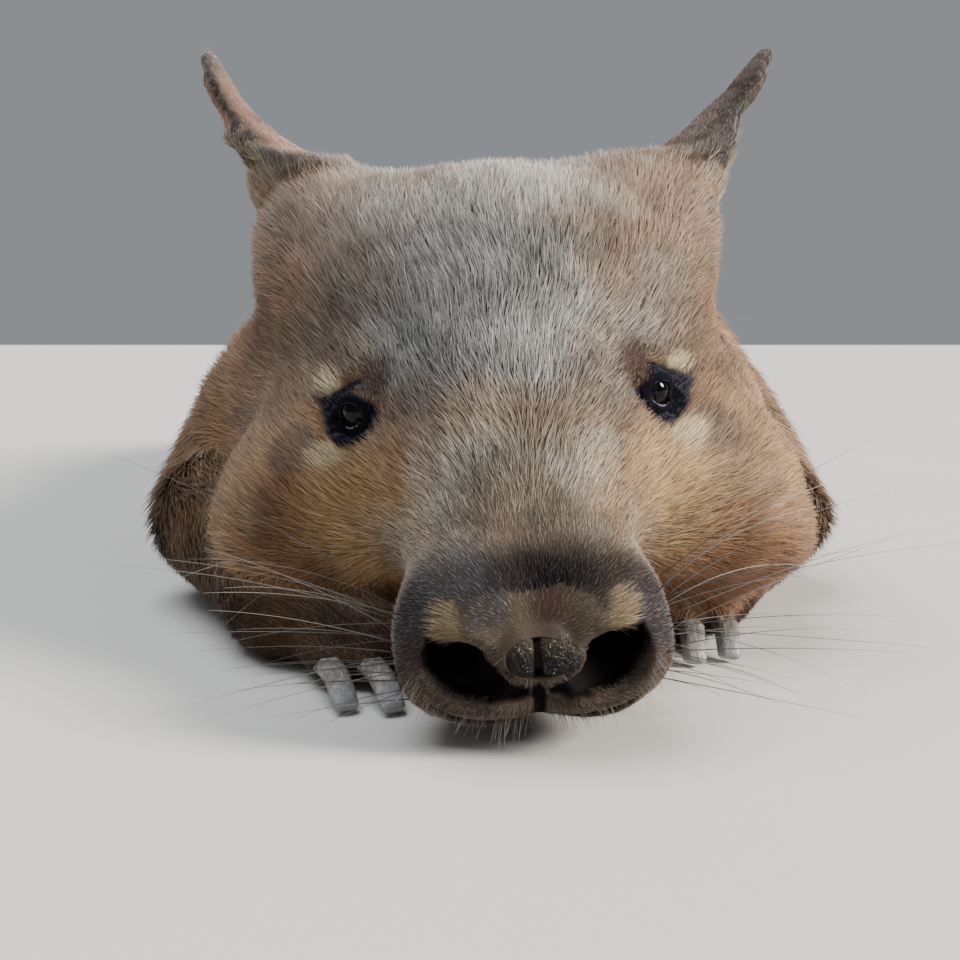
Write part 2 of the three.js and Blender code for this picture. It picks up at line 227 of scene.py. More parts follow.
def mesh_from(name: str, points: np.ndarray, triangles: np.ndarray) -> bpy.types.Mesh:
    """A smooth mesh of triangles from arrays."""
    mesh = bpy.data.meshes.new(name)
    mesh.vertices.add(len(points))
    mesh.loops.add(triangles.size)
    mesh.polygons.add(len(triangles))
    mesh.vertices.foreach_set("co", points.astype(np.float32).ravel())
    mesh.loops.foreach_set("vertex_index", triangles.astype(np.int32).ravel())
    mesh.polygons.foreach_set("loop_start", np.arange(0, triangles.size, 3, dtype=np.int32))
    mesh.polygons.foreach_set("use_smooth", np.ones(len(triangles), bool))
    mesh.update(calc_edges=True)
    return mesh


# Pieces


def put(mesh: bpy.types.Mesh, name: str) -> bpy.types.Object:
    """Adds a mesh to the scene as an object at the origin."""
    piece = bpy.data.objects.new(name, mesh)
    bpy.context.scene.collection.objects.link(piece)
    return piece


def finish_piece(
    mesh: bpy.types.Mesh, name: str, material: bpy.types.Material, nodes: Sequence[str] = ()
) -> bpy.types.Object:
    """Dresses a mesh and lets it ride on the animal.

    Args:
        mesh: The piece's mesh, in place.
        name: The piece's name.
        material: Its finish.
        nodes: CAD nodes that the piece stands for.

    Returns:
        The finished object.
    """
    mesh.materials.clear()
    mesh.materials.append(material)
    piece = put(mesh, name)
    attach(piece, "root")
    if nodes:
        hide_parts(*nodes)
    log.info("%s: %d faces", name, len(mesh.polygons))
    return piece


def with_modifier(mesh: bpy.types.Mesh, kind: str, **settings: float | str | int) -> bpy.types.Mesh:
    """The mesh that a modifier makes of another.

    Args:
        mesh: The mesh to change, which is removed.
        kind: The modifier's type.
        settings: Its settings.

    Returns:
        The new mesh.
    """
    body = put(mesh, "work")
    modifier = body.modifiers.new("work", kind)
    if "vertex_group" in settings:
        group = body.vertex_groups.new(name=settings["vertex_group"])
        chosen = settings.pop("members")
        group.add([int(i) for i in chosen], 1.0, "REPLACE")
    for key, value in settings.items():
        setattr(modifier, key, value)
    made = bpy.data.meshes.new_from_object(body.evaluated_get(bpy.context.evaluated_depsgraph_get()))
    bpy.data.objects.remove(body)
    bpy.data.meshes.remove(mesh)
    return made


def merged_copy(node: bpy.types.Object) -> bmesh.types.BMesh:
    """A node's mesh with its loose triangles joined."""
    body = bmesh.new()
    body.from_mesh(node.data)
    bmesh.ops.remove_doubles(body, verts=body.verts, dist=1e-6)
    return body


# Shader nodes


class Value:
    """A number that varies over a surface: sums, products and 1 - value add Math nodes."""

    def __init__(self, shop: "Shop", out: bpy.types.NodeSocket) -> None:
        """Wraps an output socket of a shop's node."""
        self.shop = shop
        self.out = out

    def __add__(self, other: "Value | float") -> "Value":
        """Sum."""
        return self.shop.math("ADD", self, other)

    __radd__ = __add__

    def __mul__(self, other: "Value | float") -> "Value":
        """Product."""
        return self.shop.math("MULTIPLY", self, other)

    __rmul__ = __mul__

    def __rsub__(self, other: float) -> "Value":
        """Difference from a number."""
        return self.shop.math("SUBTRACT", other, self)

    def between(self, low: float, high: float) -> "Value":
        """Rises smoothly from 0 at `low` to 1 at `high`, or falls where `low` is the higher."""
        made = self.shop.node(
            "ShaderNodeMapRange",
            {"interpolation_type": "SMOOTHSTEP"},
            {"Value": self, "From Min": low, "From Max": high},
        )
        return Value(self.shop, made.outputs[0])


class Shop:
    """Makes one material out of nodes."""

    def __init__(self, name: str) -> None:
        """Starts an empty material with a Principled shader."""
        self.material = bpy.data.materials.new(name)
        self.material.use_nodes = True
        self.tree = self.material.node_tree
        self.tree.nodes.clear()
        output = self.tree.nodes.new("ShaderNodeOutputMaterial")
        self.shader = self.tree.nodes.new("ShaderNodeBsdfPrincipled")
        self.tree.links.new(self.shader.outputs[0], output.inputs["Surface"])

    def node(
        self, kind: str, settings: dict | None = None, inputs: dict | None = None
    ) -> bpy.types.Node:
        """Makes a node.

        Args:
            kind: The node's type.
            settings: Its own settings, set first; "stops" are a ramp's places and colours.
            inputs: Values or links of its sockets, by name or identifier.

        Returns:
            The node.
        """
        made = self.tree.nodes.new(kind)
        for key, value in (settings or {}).items():
            if key == "stops":
                self._set_stops(made, value)
            else:
                setattr(made, key, value)
        for key, value in (inputs or {}).items():
            self.feed(self._socket(made, key), value)
        return made

    def _set_stops(self, ramp: bpy.types.Node, stops: Sequence[tuple[float, Colour]]) -> None:
        """Gives a ramp its stops."""
        elements = ramp.color_ramp.elements
        while len(elements) < len(stops):
            elements.new(1.0)
        for element, (place, colour) in zip(elements, stops):
            element.position = place
            element.color = (*colour, 1.0)

    def _socket(self, made: bpy.types.Node, key: str) -> bpy.types.NodeSocket:
        """An input by its identifier, or else by its name."""
        for socket in made.inputs:
            if socket.identifier == key:
                return socket
        return made.inputs[key]

    def feed(self, socket: bpy.types.NodeSocket, value: object) -> None:
        """Links a socket, or sets its number or colour."""
        if isinstance(value, Value):
            self.tree.links.new(value.out, socket)
        elif isinstance(value, bpy.types.NodeSocket):
            self.tree.links.new(value, socket)
        elif isinstance(value, tuple) and len(value) == 3 and socket.type == "RGBA":
            socket.default_value = (*value, 1.0)
        else:
            socket.default_value = value

    def math(self, operation: str, a: Value | float, b: Value | float) -> Value:
        """A Math node on two numbers."""
        made = self.node("ShaderNodeMath", {"operation": operation}, {"Value": a, "Value_001": b})
        return Value(self, made.outputs[0])

    def blend(
        self, a: object, b: object, share: Value | float, how: str = "MIX"
    ) -> bpy.types.NodeSocket:
        """A colour between two, by a share."""
        made = self.node(
            "ShaderNodeMix",
            {"data_type": "RGBA", "blend_type": how},
            {"Factor_Float": share, "A_Color": a, "B_Color": b},
        )
        return made.outputs["Result"] if made.outputs["Result"].enabled else made.outputs[2]

    def place(self) -> bpy.types.NodeSocket:
        """The piece's Object coordinates."""
        return self.node("ShaderNodeTexCoord").outputs["Object"]

    def noise(
        self, scale: float, detail: float = 2.0, place: bpy.types.NodeSocket | None = None
    ) -> Value:
        """Noise over Object coordinates or another place, `scale` bumps a metre."""
        inputs = {"Vector": place or self.place(), "Scale": scale, "Detail": detail}
        made = self.node("ShaderNodeTexNoise", None, inputs)
        return Value(self, made.outputs["Fac"] if "Fac" in made.outputs else made.outputs[0])

    def cells(self, scale: float) -> Value:
        """Distance to the nearest of many scattered grains."""
        made = self.node("ShaderNodeTexVoronoi", None, {"Vector": self.place(), "Scale": scale})
        return Value(self, made.outputs["Distance"])

    def attribute(self, name: str) -> bpy.types.Node:
        """A stored attribute of the piece."""
        return self.node("ShaderNodeAttribute", {"attribute_name": name})

    def bump(self, height: Value, strength: float, distance: float) -> bpy.types.NodeSocket:
        """A Bump node over a height."""
        made = self.node(
            "ShaderNodeBump", None, {"Strength": strength, "Distance": distance, "Height": height}
        )
        return made.outputs[0]

    def dress(self, **sockets: object) -> bpy.types.Material:
        """Feeds the shader's sockets, named with underscores for spaces, and gives the material."""
        for key, value in sockets.items():
            self.feed(self.shader.inputs[key.replace("_", " ")], value)
        return self.material


@dataclass(frozen=True)
class SkinFinish:
    """Skin under the coat, with fine creases; bare and damp in the nostrils."""

    name: str = "skin"
    crease: float = 0.0007

    def make(self) -> bpy.types.Material:
        """The material, which reads the painted tone and where the skin is damp."""
        shop = Shop(self.name)
        tone = shop.attribute("tone").outputs["Color"]
        damp = Value(shop, shop.attribute("damp").outputs["Fac"])
        fine = shop.noise(1600.0, 3.0)
        broad = shop.noise(260.0, 2.0)
        shade = (fine * 0.5 + broad * 0.5).between(0.25, 0.75)
        colour = shop.blend(tone, (0.45, 0.4, 0.38), 0.5 - shade * 0.45, "MULTIPLY")
        return shop.dress(
            Base_Color=colour,
            Roughness=0.85 - damp * 0.1,
            Specular_IOR_Level=0.08,
            Normal=shop.bump(fine * 0.6 + broad, 0.6, self.crease),
        )


@dataclass(frozen=True)
class CoatFinish:
    """Hair: the painted tone, with the soft gloss of a clean coat."""

    name: str
    roughness: float = 0.55
    sheen: float = 0.08

    def make(self) -> bpy.types.Material:
        """The material, which reads each tuft's tone from root to tip."""
        shop = Shop(self.name)
        tone = shop.attribute("tone").outputs["Color"]
        streak = shop.noise(900.0, 2.0).between(0.2, 0.8)
        colour = shop.blend(tone, (0.72, 0.7, 0.68), 0.5 - streak * 0.5, "MULTIPLY")
        return shop.dress(
            Base_Color=colour,
            Roughness=self.roughness,
            Specular_IOR_Level=0.25,
            Sheen_Weight=self.sheen,
            Sheen_Roughness=0.5,
        )


@dataclass(frozen=True)
class EyeFinish:
    """A dark wet eye: a near-black iris round a wide black pupil."""

    centre: Place
    axis: Place
    pupil: float = 3.2 * MM
    iris: float = 5.6 * MM

    def make(self, side: str) -> bpy.types.Material:
        """The material of the eye on one side."""
        shop = Shop(f"eye_{side}")
        away = shop.node(
            "ShaderNodeVectorMath",
            {"operation": "SUBTRACT"},
            {"Vector": shop.place(), "Vector_001": self.centre},
        )
        turned = shop.node(
            "ShaderNodeVectorMath",
            {"operation": "CROSS_PRODUCT"},
            {"Vector": away.outputs[0], "Vector_001": self.axis},
        )
        off = shop.node("ShaderNodeVectorMath", {"operation": "LENGTH"}, {"Vector": turned.outputs[0]})
        off_axis = Value(shop, off.outputs["Value"])
        rays = shop.noise(1800.0, 3.0)
        iris = shop.blend((0.003, 0.0026, 0.003), (0.01, 0.008, 0.009), rays.between(0.3, 0.7))
        past_pupil = off_axis.between(self.pupil * 0.85, self.pupil * 1.2)
        past_iris = off_axis.between(self.iris * 0.96, self.iris * 1.06)
        seen = shop.blend((0.001, 0.001, 0.0012), iris, past_pupil)
        colour = shop.blend(seen, (0.012, 0.009, 0.01), past_iris)
        return shop.dress(
            Base_Color=colour, Roughness=0.07, IOR=1.2, Coat_Weight=0.08, Coat_Roughness=0.03
        )


@dataclass(frozen=True)
class LidFinish:
    """The damp dark rim of a lid, pinkish along its lower part, where a painted highlight of wet skin makes
    it paler.
    """

    name: str = "lid_rim"

    def make(self) -> bpy.types.Material:
        """The material."""
        shop = Shop(self.name)
        tone = shop.attribute("tone").outputs["Color"]
        return shop.dress(
            Base_Color=shop.blend(tone, (0.5, 0.42, 0.4), shop.noise(900.0), "MULTIPLY"),
            Roughness=0.42,
            Specular_IOR_Level=0.3,
            Normal=shop.bump(shop.noise(2600.0), 0.3, 0.0002),
        )


@dataclass(frozen=True)
class NoseFinish:
    """The bare granular pad, with sand stuck to it."""

    name: str = "nose_pad"

    def make(self) -> bpy.types.Material:
        """The material."""
        shop = Shop(self.name)
        granules = shop.cells(1150.0)
        bare = shop.blend((0.003, 0.0025, 0.003), (0.016, 0.012, 0.013), granules.between(0.55, 0.1))
        margin = Value(shop, shop.attribute("margin").outputs["Fac"])
        skin = shop.blend(bare, (0.085, 0.062, 0.046), margin * 0.9)
        where = Value(shop, shop.attribute("sand").outputs["Fac"])
        fine = shop.cells(1500.0).between(0.3, 0.2)
        coarse = shop.cells(820.0).between(0.28, 0.18)
        sand = (fine + coarse).between(0.2, 0.9) * shop.noise(700.0, 2.0).between(0.4, 0.56) * where
        sandy = shop.blend((0.12, 0.088, 0.055), (0.42, 0.34, 0.23), shop.noise(900.0).between(0.4, 0.6))
        return shop.dress(
            Base_Color=shop.blend(skin, sandy, sand),
            Roughness=0.62 + sand * 0.3,
            Specular_IOR_Level=0.2,
            Normal=shop.bump(1.0 - granules + sand * 0.8, 0.8, 0.0005),
        )


@dataclass(frozen=True)
class HornFinish:
    """Worn digging claws: grey horn with streaks along it, dirt at the root and a paler edge."""

    name: str = "claw_horn"

    def make(self) -> bpy.types.Material:
        """The material."""
        shop = Shop(self.name)
        streaks = shop.noise(1500.0, 2.0, shop.attribute("run").outputs["Vector"]).between(0.3, 0.7)
        horn = shop.blend((0.13, 0.118, 0.108), (0.25, 0.245, 0.24), streaks)
        along = Value(shop, shop.attribute("along").outputs["Fac"])
        dirt = shop.noise(420.0, 4.0).between(0.4, 0.6) * (1.0 - along * 0.75)
        pale = shop.blend(horn, (0.36, 0.365, 0.38), along.between(0.45, 1.0) * 0.7)
        return shop.dress(
            Base_Color=shop.blend(pale, (0.06, 0.042, 0.03), dirt * 0.85),
            Roughness=0.4 + dirt * 0.4,
            Normal=shop.bump(streaks, 0.4, 0.0003),
        )


@dataclass(frozen=True)
class WhiskerFinish:
    """Whiskers, dark at the root and paler at the tip."""

    name: str = "whisker"

    def make(self) -> bpy.types.Material:
        """The material."""
        shop = Shop(self.name)
        tone = shop.attribute("tone").outputs["Color"]
        return shop.dress(
            Base_Color=shop.blend(tone, (0.75, 0.72, 0.7), shop.noise(300.0), "MULTIPLY"), Roughness=0.35
        )


@dataclass(frozen=True)
class FloorFinish:
    """A plain pale floor."""

    name: str = "floor"

    def make(self) -> bpy.types.Material:
        """The material."""
        shop = Shop(self.name)
        shade = shop.blend((0.6, 0.585, 0.56), (0.64, 0.625, 0.6), shop.noise(3.0))
        return shop.dress(Base_Color=shade, Roughness=0.85)


# The head's own frame and its marks


@dataclass(frozen=True)
class HeadPose:
    """How the head is held. A straight head looks along -Y with its nose at y 0, in millimetres."""

    shift: float = 6.0
    yaw: float = math.radians(1.5)
    roll: float = math.radians(-4.0)
    pivot: Place = (0.0, 185.0, 100.0)
    nose_y: float = -388.97

    def matrix(self) -> np.ndarray:
        """Straight-head millimetres to the row frame in metres."""
        back = Matrix.Translation(-Vector(self.pivot))
        turn = Matrix.Rotation(self.yaw, 4, "Z") @ Matrix.Rotation(self.roll, 4, "Y")
        there = Matrix.Translation((self.shift, self.pivot[1] + self.nose_y, self.pivot[2]))
        return np.array(Matrix.Scale(MM, 4) @ there @ turn @ back)

    def to_row(self, places: np.ndarray) -> np.ndarray:
        """Straight-head places to the row frame."""
        m = self.matrix()
        return np.asarray(places, float) @ m[:3, :3].T + m[:3, 3]

    def to_head(self, points: np.ndarray) -> np.ndarray:
        """Places in the row frame to the straight head."""
        m = np.linalg.inv(self.matrix())
        return np.asarray(points, float) @ m[:3, :3].T + m[:3, 3]

    def turned(self, directions: np.ndarray) -> np.ndarray:
        """Directions on the straight head, turned as the head is."""
        return unit(np.asarray(directions, float) @ self.matrix()[:3, :3].T)


POSE = HeadPose()


@dataclass(frozen=True)
class Mark:
    """A patch of coat, the same on both sides of the straight head, in millimetres."""

    name: str
    centre: Place
    reach: Place
    coat: Colour
    tips: Colour
    soft: float = 0.45
    strength: float = 1.0

    def share(self, places: np.ndarray) -> np.ndarray:
        """How much of the mark shows at each place of a straight head."""
        folded = places.copy()
        folded[:, 0] = np.abs(folded[:, 0])
        off = np.linalg.norm((folded - self.centre) / np.array(self.reach), axis=1)
        return self.strength * (1.0 - step(1.0 - self.soft, 1.0 + self.soft, off))


HEAD_MARKS = (
    Mark("cheek", (88, 108, 62), (44, 74, 54), (0.19, 0.108, 0.052), (0.45, 0.285, 0.155)),
    Mark("jowl", (62, 96, 24), (52, 66, 26), (0.175, 0.078, 0.034), (0.36, 0.185, 0.09)),
    Mark("temple", (84, 140, 116), (34, 56, 40), (0.13, 0.075, 0.042), (0.36, 0.24, 0.15)),
    Mark("crown", (0, 138, 176), (96, 66, 30), (0.16, 0.12, 0.09), (0.72, 0.68, 0.6)),
    Mark("crown corner", (70, 148, 168), (30, 46, 28), (0.17, 0.1, 0.065), (0.44, 0.32, 0.24)),
    Mark("forehead", (0, 88, 122), (60, 58, 46), (0.05, 0.041, 0.036), (0.45, 0.44, 0.42)),
    Mark("brow", (50, 104, 132), (19, 26, 12), (0.085, 0.06, 0.048), (0.28, 0.225, 0.18), 0.6, 0.85),
    Mark("cheek by the muzzle", (52, 62, 58), (18, 30, 26), (0.26, 0.155, 0.07), (0.58, 0.39, 0.2)),
    Mark("muzzle", (0, 6, 30), (50, 26, 36), (0.07, 0.052, 0.042), (0.21, 0.17, 0.145), 0.5),
    Mark("top of the muzzle", (0, 36, 70), (33, 36, 26), (0.17, 0.145, 0.115), (0.58, 0.56, 0.5)),
    Mark("brown of the muzzle", (2, 34, 66), (17, 28, 15), (0.1, 0.072, 0.05), (0.34, 0.27, 0.2), 0.6, 0.9),
    Mark("side of the muzzle", (38, 36, 46), (14, 34, 20), (0.16, 0.12, 0.085), (0.46, 0.4, 0.31)),
    Mark("edge of the muzzle", (34, 8, 38), (8, 14, 17), (0.035, 0.028, 0.03), (0.13, 0.115, 0.125), 0.6),
    Mark("band over the nose", (0, 9, 51), (29, 16, 7.5), (0.014, 0.01, 0.011), (0.05, 0.042, 0.046), 0.6),
    # Painted shade: a dark brown lower lip and chin, darker below the mouth
    Mark("chin", (0, 30, 5), (34, 40, 9), (0.08, 0.052, 0.035), (0.18, 0.125, 0.085)),
)


@dataclass(frozen=True)
class NoseForms:
    """The nostrils' hollows and the haired flap over them: side and height, in millimetres."""

    hollow: tuple[tuple[float, float], ...] = (
        (30.0, 37.0), (25.0, 36.3), (19.8, 35.6), (15.0, 32.4), (13.0, 28.6), (9.4, 25.0), (5.5, 22.8),
        (2.4, 21.0), (2.2, 18.6), (7.0, 17.5), (13.0, 17.2), (21.0, 18.8), (27.5, 23.0), (31.0, 28.4),
        (31.7, 33.0),
    )
    flap: tuple[tuple[float, float], ...] = (
        (-1.0, 46.2), (8.0, 47.4), (17.0, 45.8), (18.8, 41.2), (20.4, 41.2), (21.8, 46.0), (25.6, 47.2),
        (28.9, 43.4), (28.4, 37.2), (25.0, 35.6), (19.8, 35.0), (14.8, 31.8), (12.6, 28.0), (9.0, 24.4),
        (5.0, 22.0), (-1.0, 21.0),
    )
    depth: float = 4.4
    pad: tuple[float, float, float] = (9.6, 12.4, 6.0)
    pad_depth: float = 3.6
    hole: tuple[float, float] = (24.0, 31.2)
    hole_reach: tuple[float, float] = (7.6, 5.2)
    hole_depth: float = 8.5
    rim_roll: float = 1.3
    flap_roll: float = 1.3
    split_depth: float = 2.6
    crease_depth: float = 1.8

    def in_hollow(self, places: np.ndarray) -> np.ndarray:
        """How deep inside the outline of a nostril's hollow places of a straight head lie."""
        return within(self.hollow, np.abs(places[:, 0]), places[:, 2])

    def in_flap(self, places: np.ndarray) -> np.ndarray:
        """How deep inside the outline of the haired flap places of a straight head lie."""
        return within(self.flap, np.abs(places[:, 0]), places[:, 2])

    def in_pad(self, places: np.ndarray) -> np.ndarray:
        """Distance from the middle of the bare pad, 1 at its edge."""
        wide = np.where(places[:, 0] < 0.0, self.pad[0], self.pad[1])
        return np.hypot(places[:, 0] / wide, (places[:, 2] - 30.0) / self.pad[2])

    def in_hole(self, places: np.ndarray) -> np.ndarray:
        """Distance from the middle of a nostril's hole, 1 at its edge."""
        side = (np.abs(places[:, 0]) - self.hole[0]) / self.hole_reach[0]
        return np.hypot(side, (places[:, 2] - self.hole[1]) / self.hole_reach[1])


NOSE = NoseForms()


class Ground(Enum):
    """Broad coat colours of the parts: hair at the root, hair at the tip."""

    BACK = ((0.14, 0.085, 0.05), (0.4, 0.285, 0.185))
    FLANK = ((0.2, 0.105, 0.048), (0.46, 0.28, 0.145))
    BELLY = ((0.28, 0.19, 0.115), (0.48, 0.37, 0.25))
    ARM = ((0.15, 0.078, 0.036), (0.36, 0.215, 0.11))
    # Dark coat of the paws, also laid on the lower arms as painted shade
    PAW = ((0.06, 0.031, 0.017), (0.14, 0.082, 0.045))
    EAR = ((0.24, 0.18, 0.125), (0.66, 0.57, 0.45))
    EAR_DARK = ((0.05, 0.04, 0.038), (0.2, 0.175, 0.165))
    EAR_EDGE = ((0.34, 0.2, 0.15), (0.66, 0.49, 0.39))
    EAR_TIP = ((0.2, 0.165, 0.15), (0.52, 0.47, 0.44))
    EAR_CUP = ((0.2, 0.13, 0.085), (0.62, 0.53, 0.38))


@dataclass(frozen=True)
class Lie:
    """How the coat grows on a node: its depth, hair length and lift, and how dense it is."""

    depth: float
    length: float
    lift: float
    dense: float = 1.0


LIES = {
    "head": Lie(2.0, 9.0, 13.0),
    "nose": Lie(0.5, 2.0, 10.0, 0.0),
    "eye": Lie(0.5, 2.0, 10.0, 0.0),
    "neck": Lie(4.4, 16.0, 15.0, 0.34),
    "torso": Lie(5.4, 21.0, 15.0, 0.19),
    "tail": Lie(2.4, 8.0, 16.0, 0.8),
    "ear": Lie(0.3, 4.0, 6.5, 2.2),
    "upper_arm": Lie(4.6, 15.0, 15.0, 0.42),
    "forearm": Lie(3.0, 11.0, 15.0, 0.6),
    "forepaw": Lie(1.4, 6.0, 13.0, 1.2),
    "thigh": Lie(5.0, 17.0, 15.0, 0.3),
    "hind_foot": Lie(1.8, 6.5, 13.0, 0.9),
}
PARTS = tuple(LIES)
EVENING = {"head": 0.35, "ear": 0.03, "forepaw": 0.25, "hind_foot": 0.25, "nose": 0.3, "eye": 0.2}
EVENING_ELSEWHERE = 0.6
EVENING_AT_NOSE = 0.22
FACE_HAIR_SHORTEST = 2.0
FACE_HAIR_GROWTH = ((1.9, 6.0, 18.0), (2.8, 16.0, 62.0), (1.9, 60.0, 110.0))


def part_of(node: str) -> str | None:
    """The kind of part that a node of flesh, eye or nose is, or nothing for a claw."""
    if "claw" in node:
        return None
    return node.removesuffix("_left").removesuffix("_right")


@dataclass(frozen=True)
class Eye:
    """One eye's place, in the row frame."""

    side: str
    centre: np.ndarray
    axis: np.ndarray
    radius: float

    @classmethod
    def of(cls, side: str) -> "Eye":
        """Reads an eye from its CAD node."""
        low, high = (np.array(corner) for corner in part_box(f"eye_{side}"))
        axis = POSE.turned(np.array([0.68 * SIDES[side], -0.72, 0.1]))
        return cls(side, (low + high) / 2.0, axis, float(high[2] - low[2]) / 2.0)

    def basis(self) -> tuple[np.ndarray, np.ndarray]:
        """Outward and upward directions across the eye's axis."""
        level = unit(np.cross(self.axis, [0.0, 0.0, 1.0]))
        return level * -SIDES[self.side], np.cross(level, self.axis)

    def seen(self, points: np.ndarray) -> tuple[np.ndarray, np.ndarray, np.ndarray]:
        """Places across the axis, away from the nose and upward, and along it, in metres."""
        away = points - self.centre
        outward, upward = self.basis()
        return away @ outward, away @ upward, away @ self.axis


@dataclass(frozen=True)
class Lids:
    """The opening between the lids, a slanted almond a little below the eye's axis."""

    wide: float = 6.1 * MM
    high: float = 4.4 * MM
    drop: float = 1.3 * MM
    slant: float = -0.08
    gap: float = 0.9 * MM
    roll: float = 1.1 * MM
    hollow: float = 0.5 * MM
    pocket: float = 4.5 * MM
    fold: float = 0.7 * MM

    def reach(self, outer: np.ndarray, upward: np.ndarray) -> np.ndarray:
        """Distance from the opening's middle, 1 at its edge."""
        off = upward + self.drop - self.slant * outer
        return np.hypot(outer / self.wide, off / self.high)

    def edge(self, angle: float) -> tuple[float, float]:
        """A place on the opening's edge, outwards and upwards from the axis."""
        outer = self.wide * math.cos(angle)
        return outer, self.high * math.sin(angle) - self.drop + self.slant * outer


LIDS = Lids()


@dataclass(frozen=True)
class EarForms:
    """How the skin's ears are evened and depart from the solids, in metres."""

    rounds: int = 6
    pull: float = 0.5
    push: float = 0.53
    tip_swell: float = 1.7 * MM
    tip_from: float = 0.202
    tip_to: float = 0.222
    out: float = 8.8 * MM
    out_height: float = 0.1905
    out_reach: float = 0.0105
    down: float = 6.0 * MM
    down_side: float = 0.076
    down_reach: float = 0.02
    right_down: float = 4.5 * MM
    right_side: float = -0.058
    right_reach: float = 0.015

    def swollen(self, points: np.ndarray) -> np.ndarray:
        """How far each place near an ear's tip stands out, so that the tip is round."""
        return self.tip_swell * step(self.tip_from, self.tip_to, points[:, 2])

    def outward(self, points: np.ndarray) -> np.ndarray:
        """How far each place on an ear's outer edge is drawn away from the middle."""
        bell = np.exp(-(((points[:, 2] - self.out_height) / self.out_reach) ** 2))
        return self.out * bell * step(0.084, 0.1, np.abs(points[:, 0]))

    def lowered(self, points: np.ndarray) -> np.ndarray:
        """How far each place on the ears' inner slopes goes down to the crown."""
        side, height = np.abs(points[:, 0]), points[:, 2]
        down = self.down * np.exp(-(((side - self.down_side) / self.down_reach) ** 2))
        right = np.exp(-(((points[:, 0] - self.right_side) / self.right_reach) ** 2))
        return down * step(0.186, 0.2, height) + self.right_down * right * step(0.184, 0.196, height)


EARS = EarForms()


# The skin


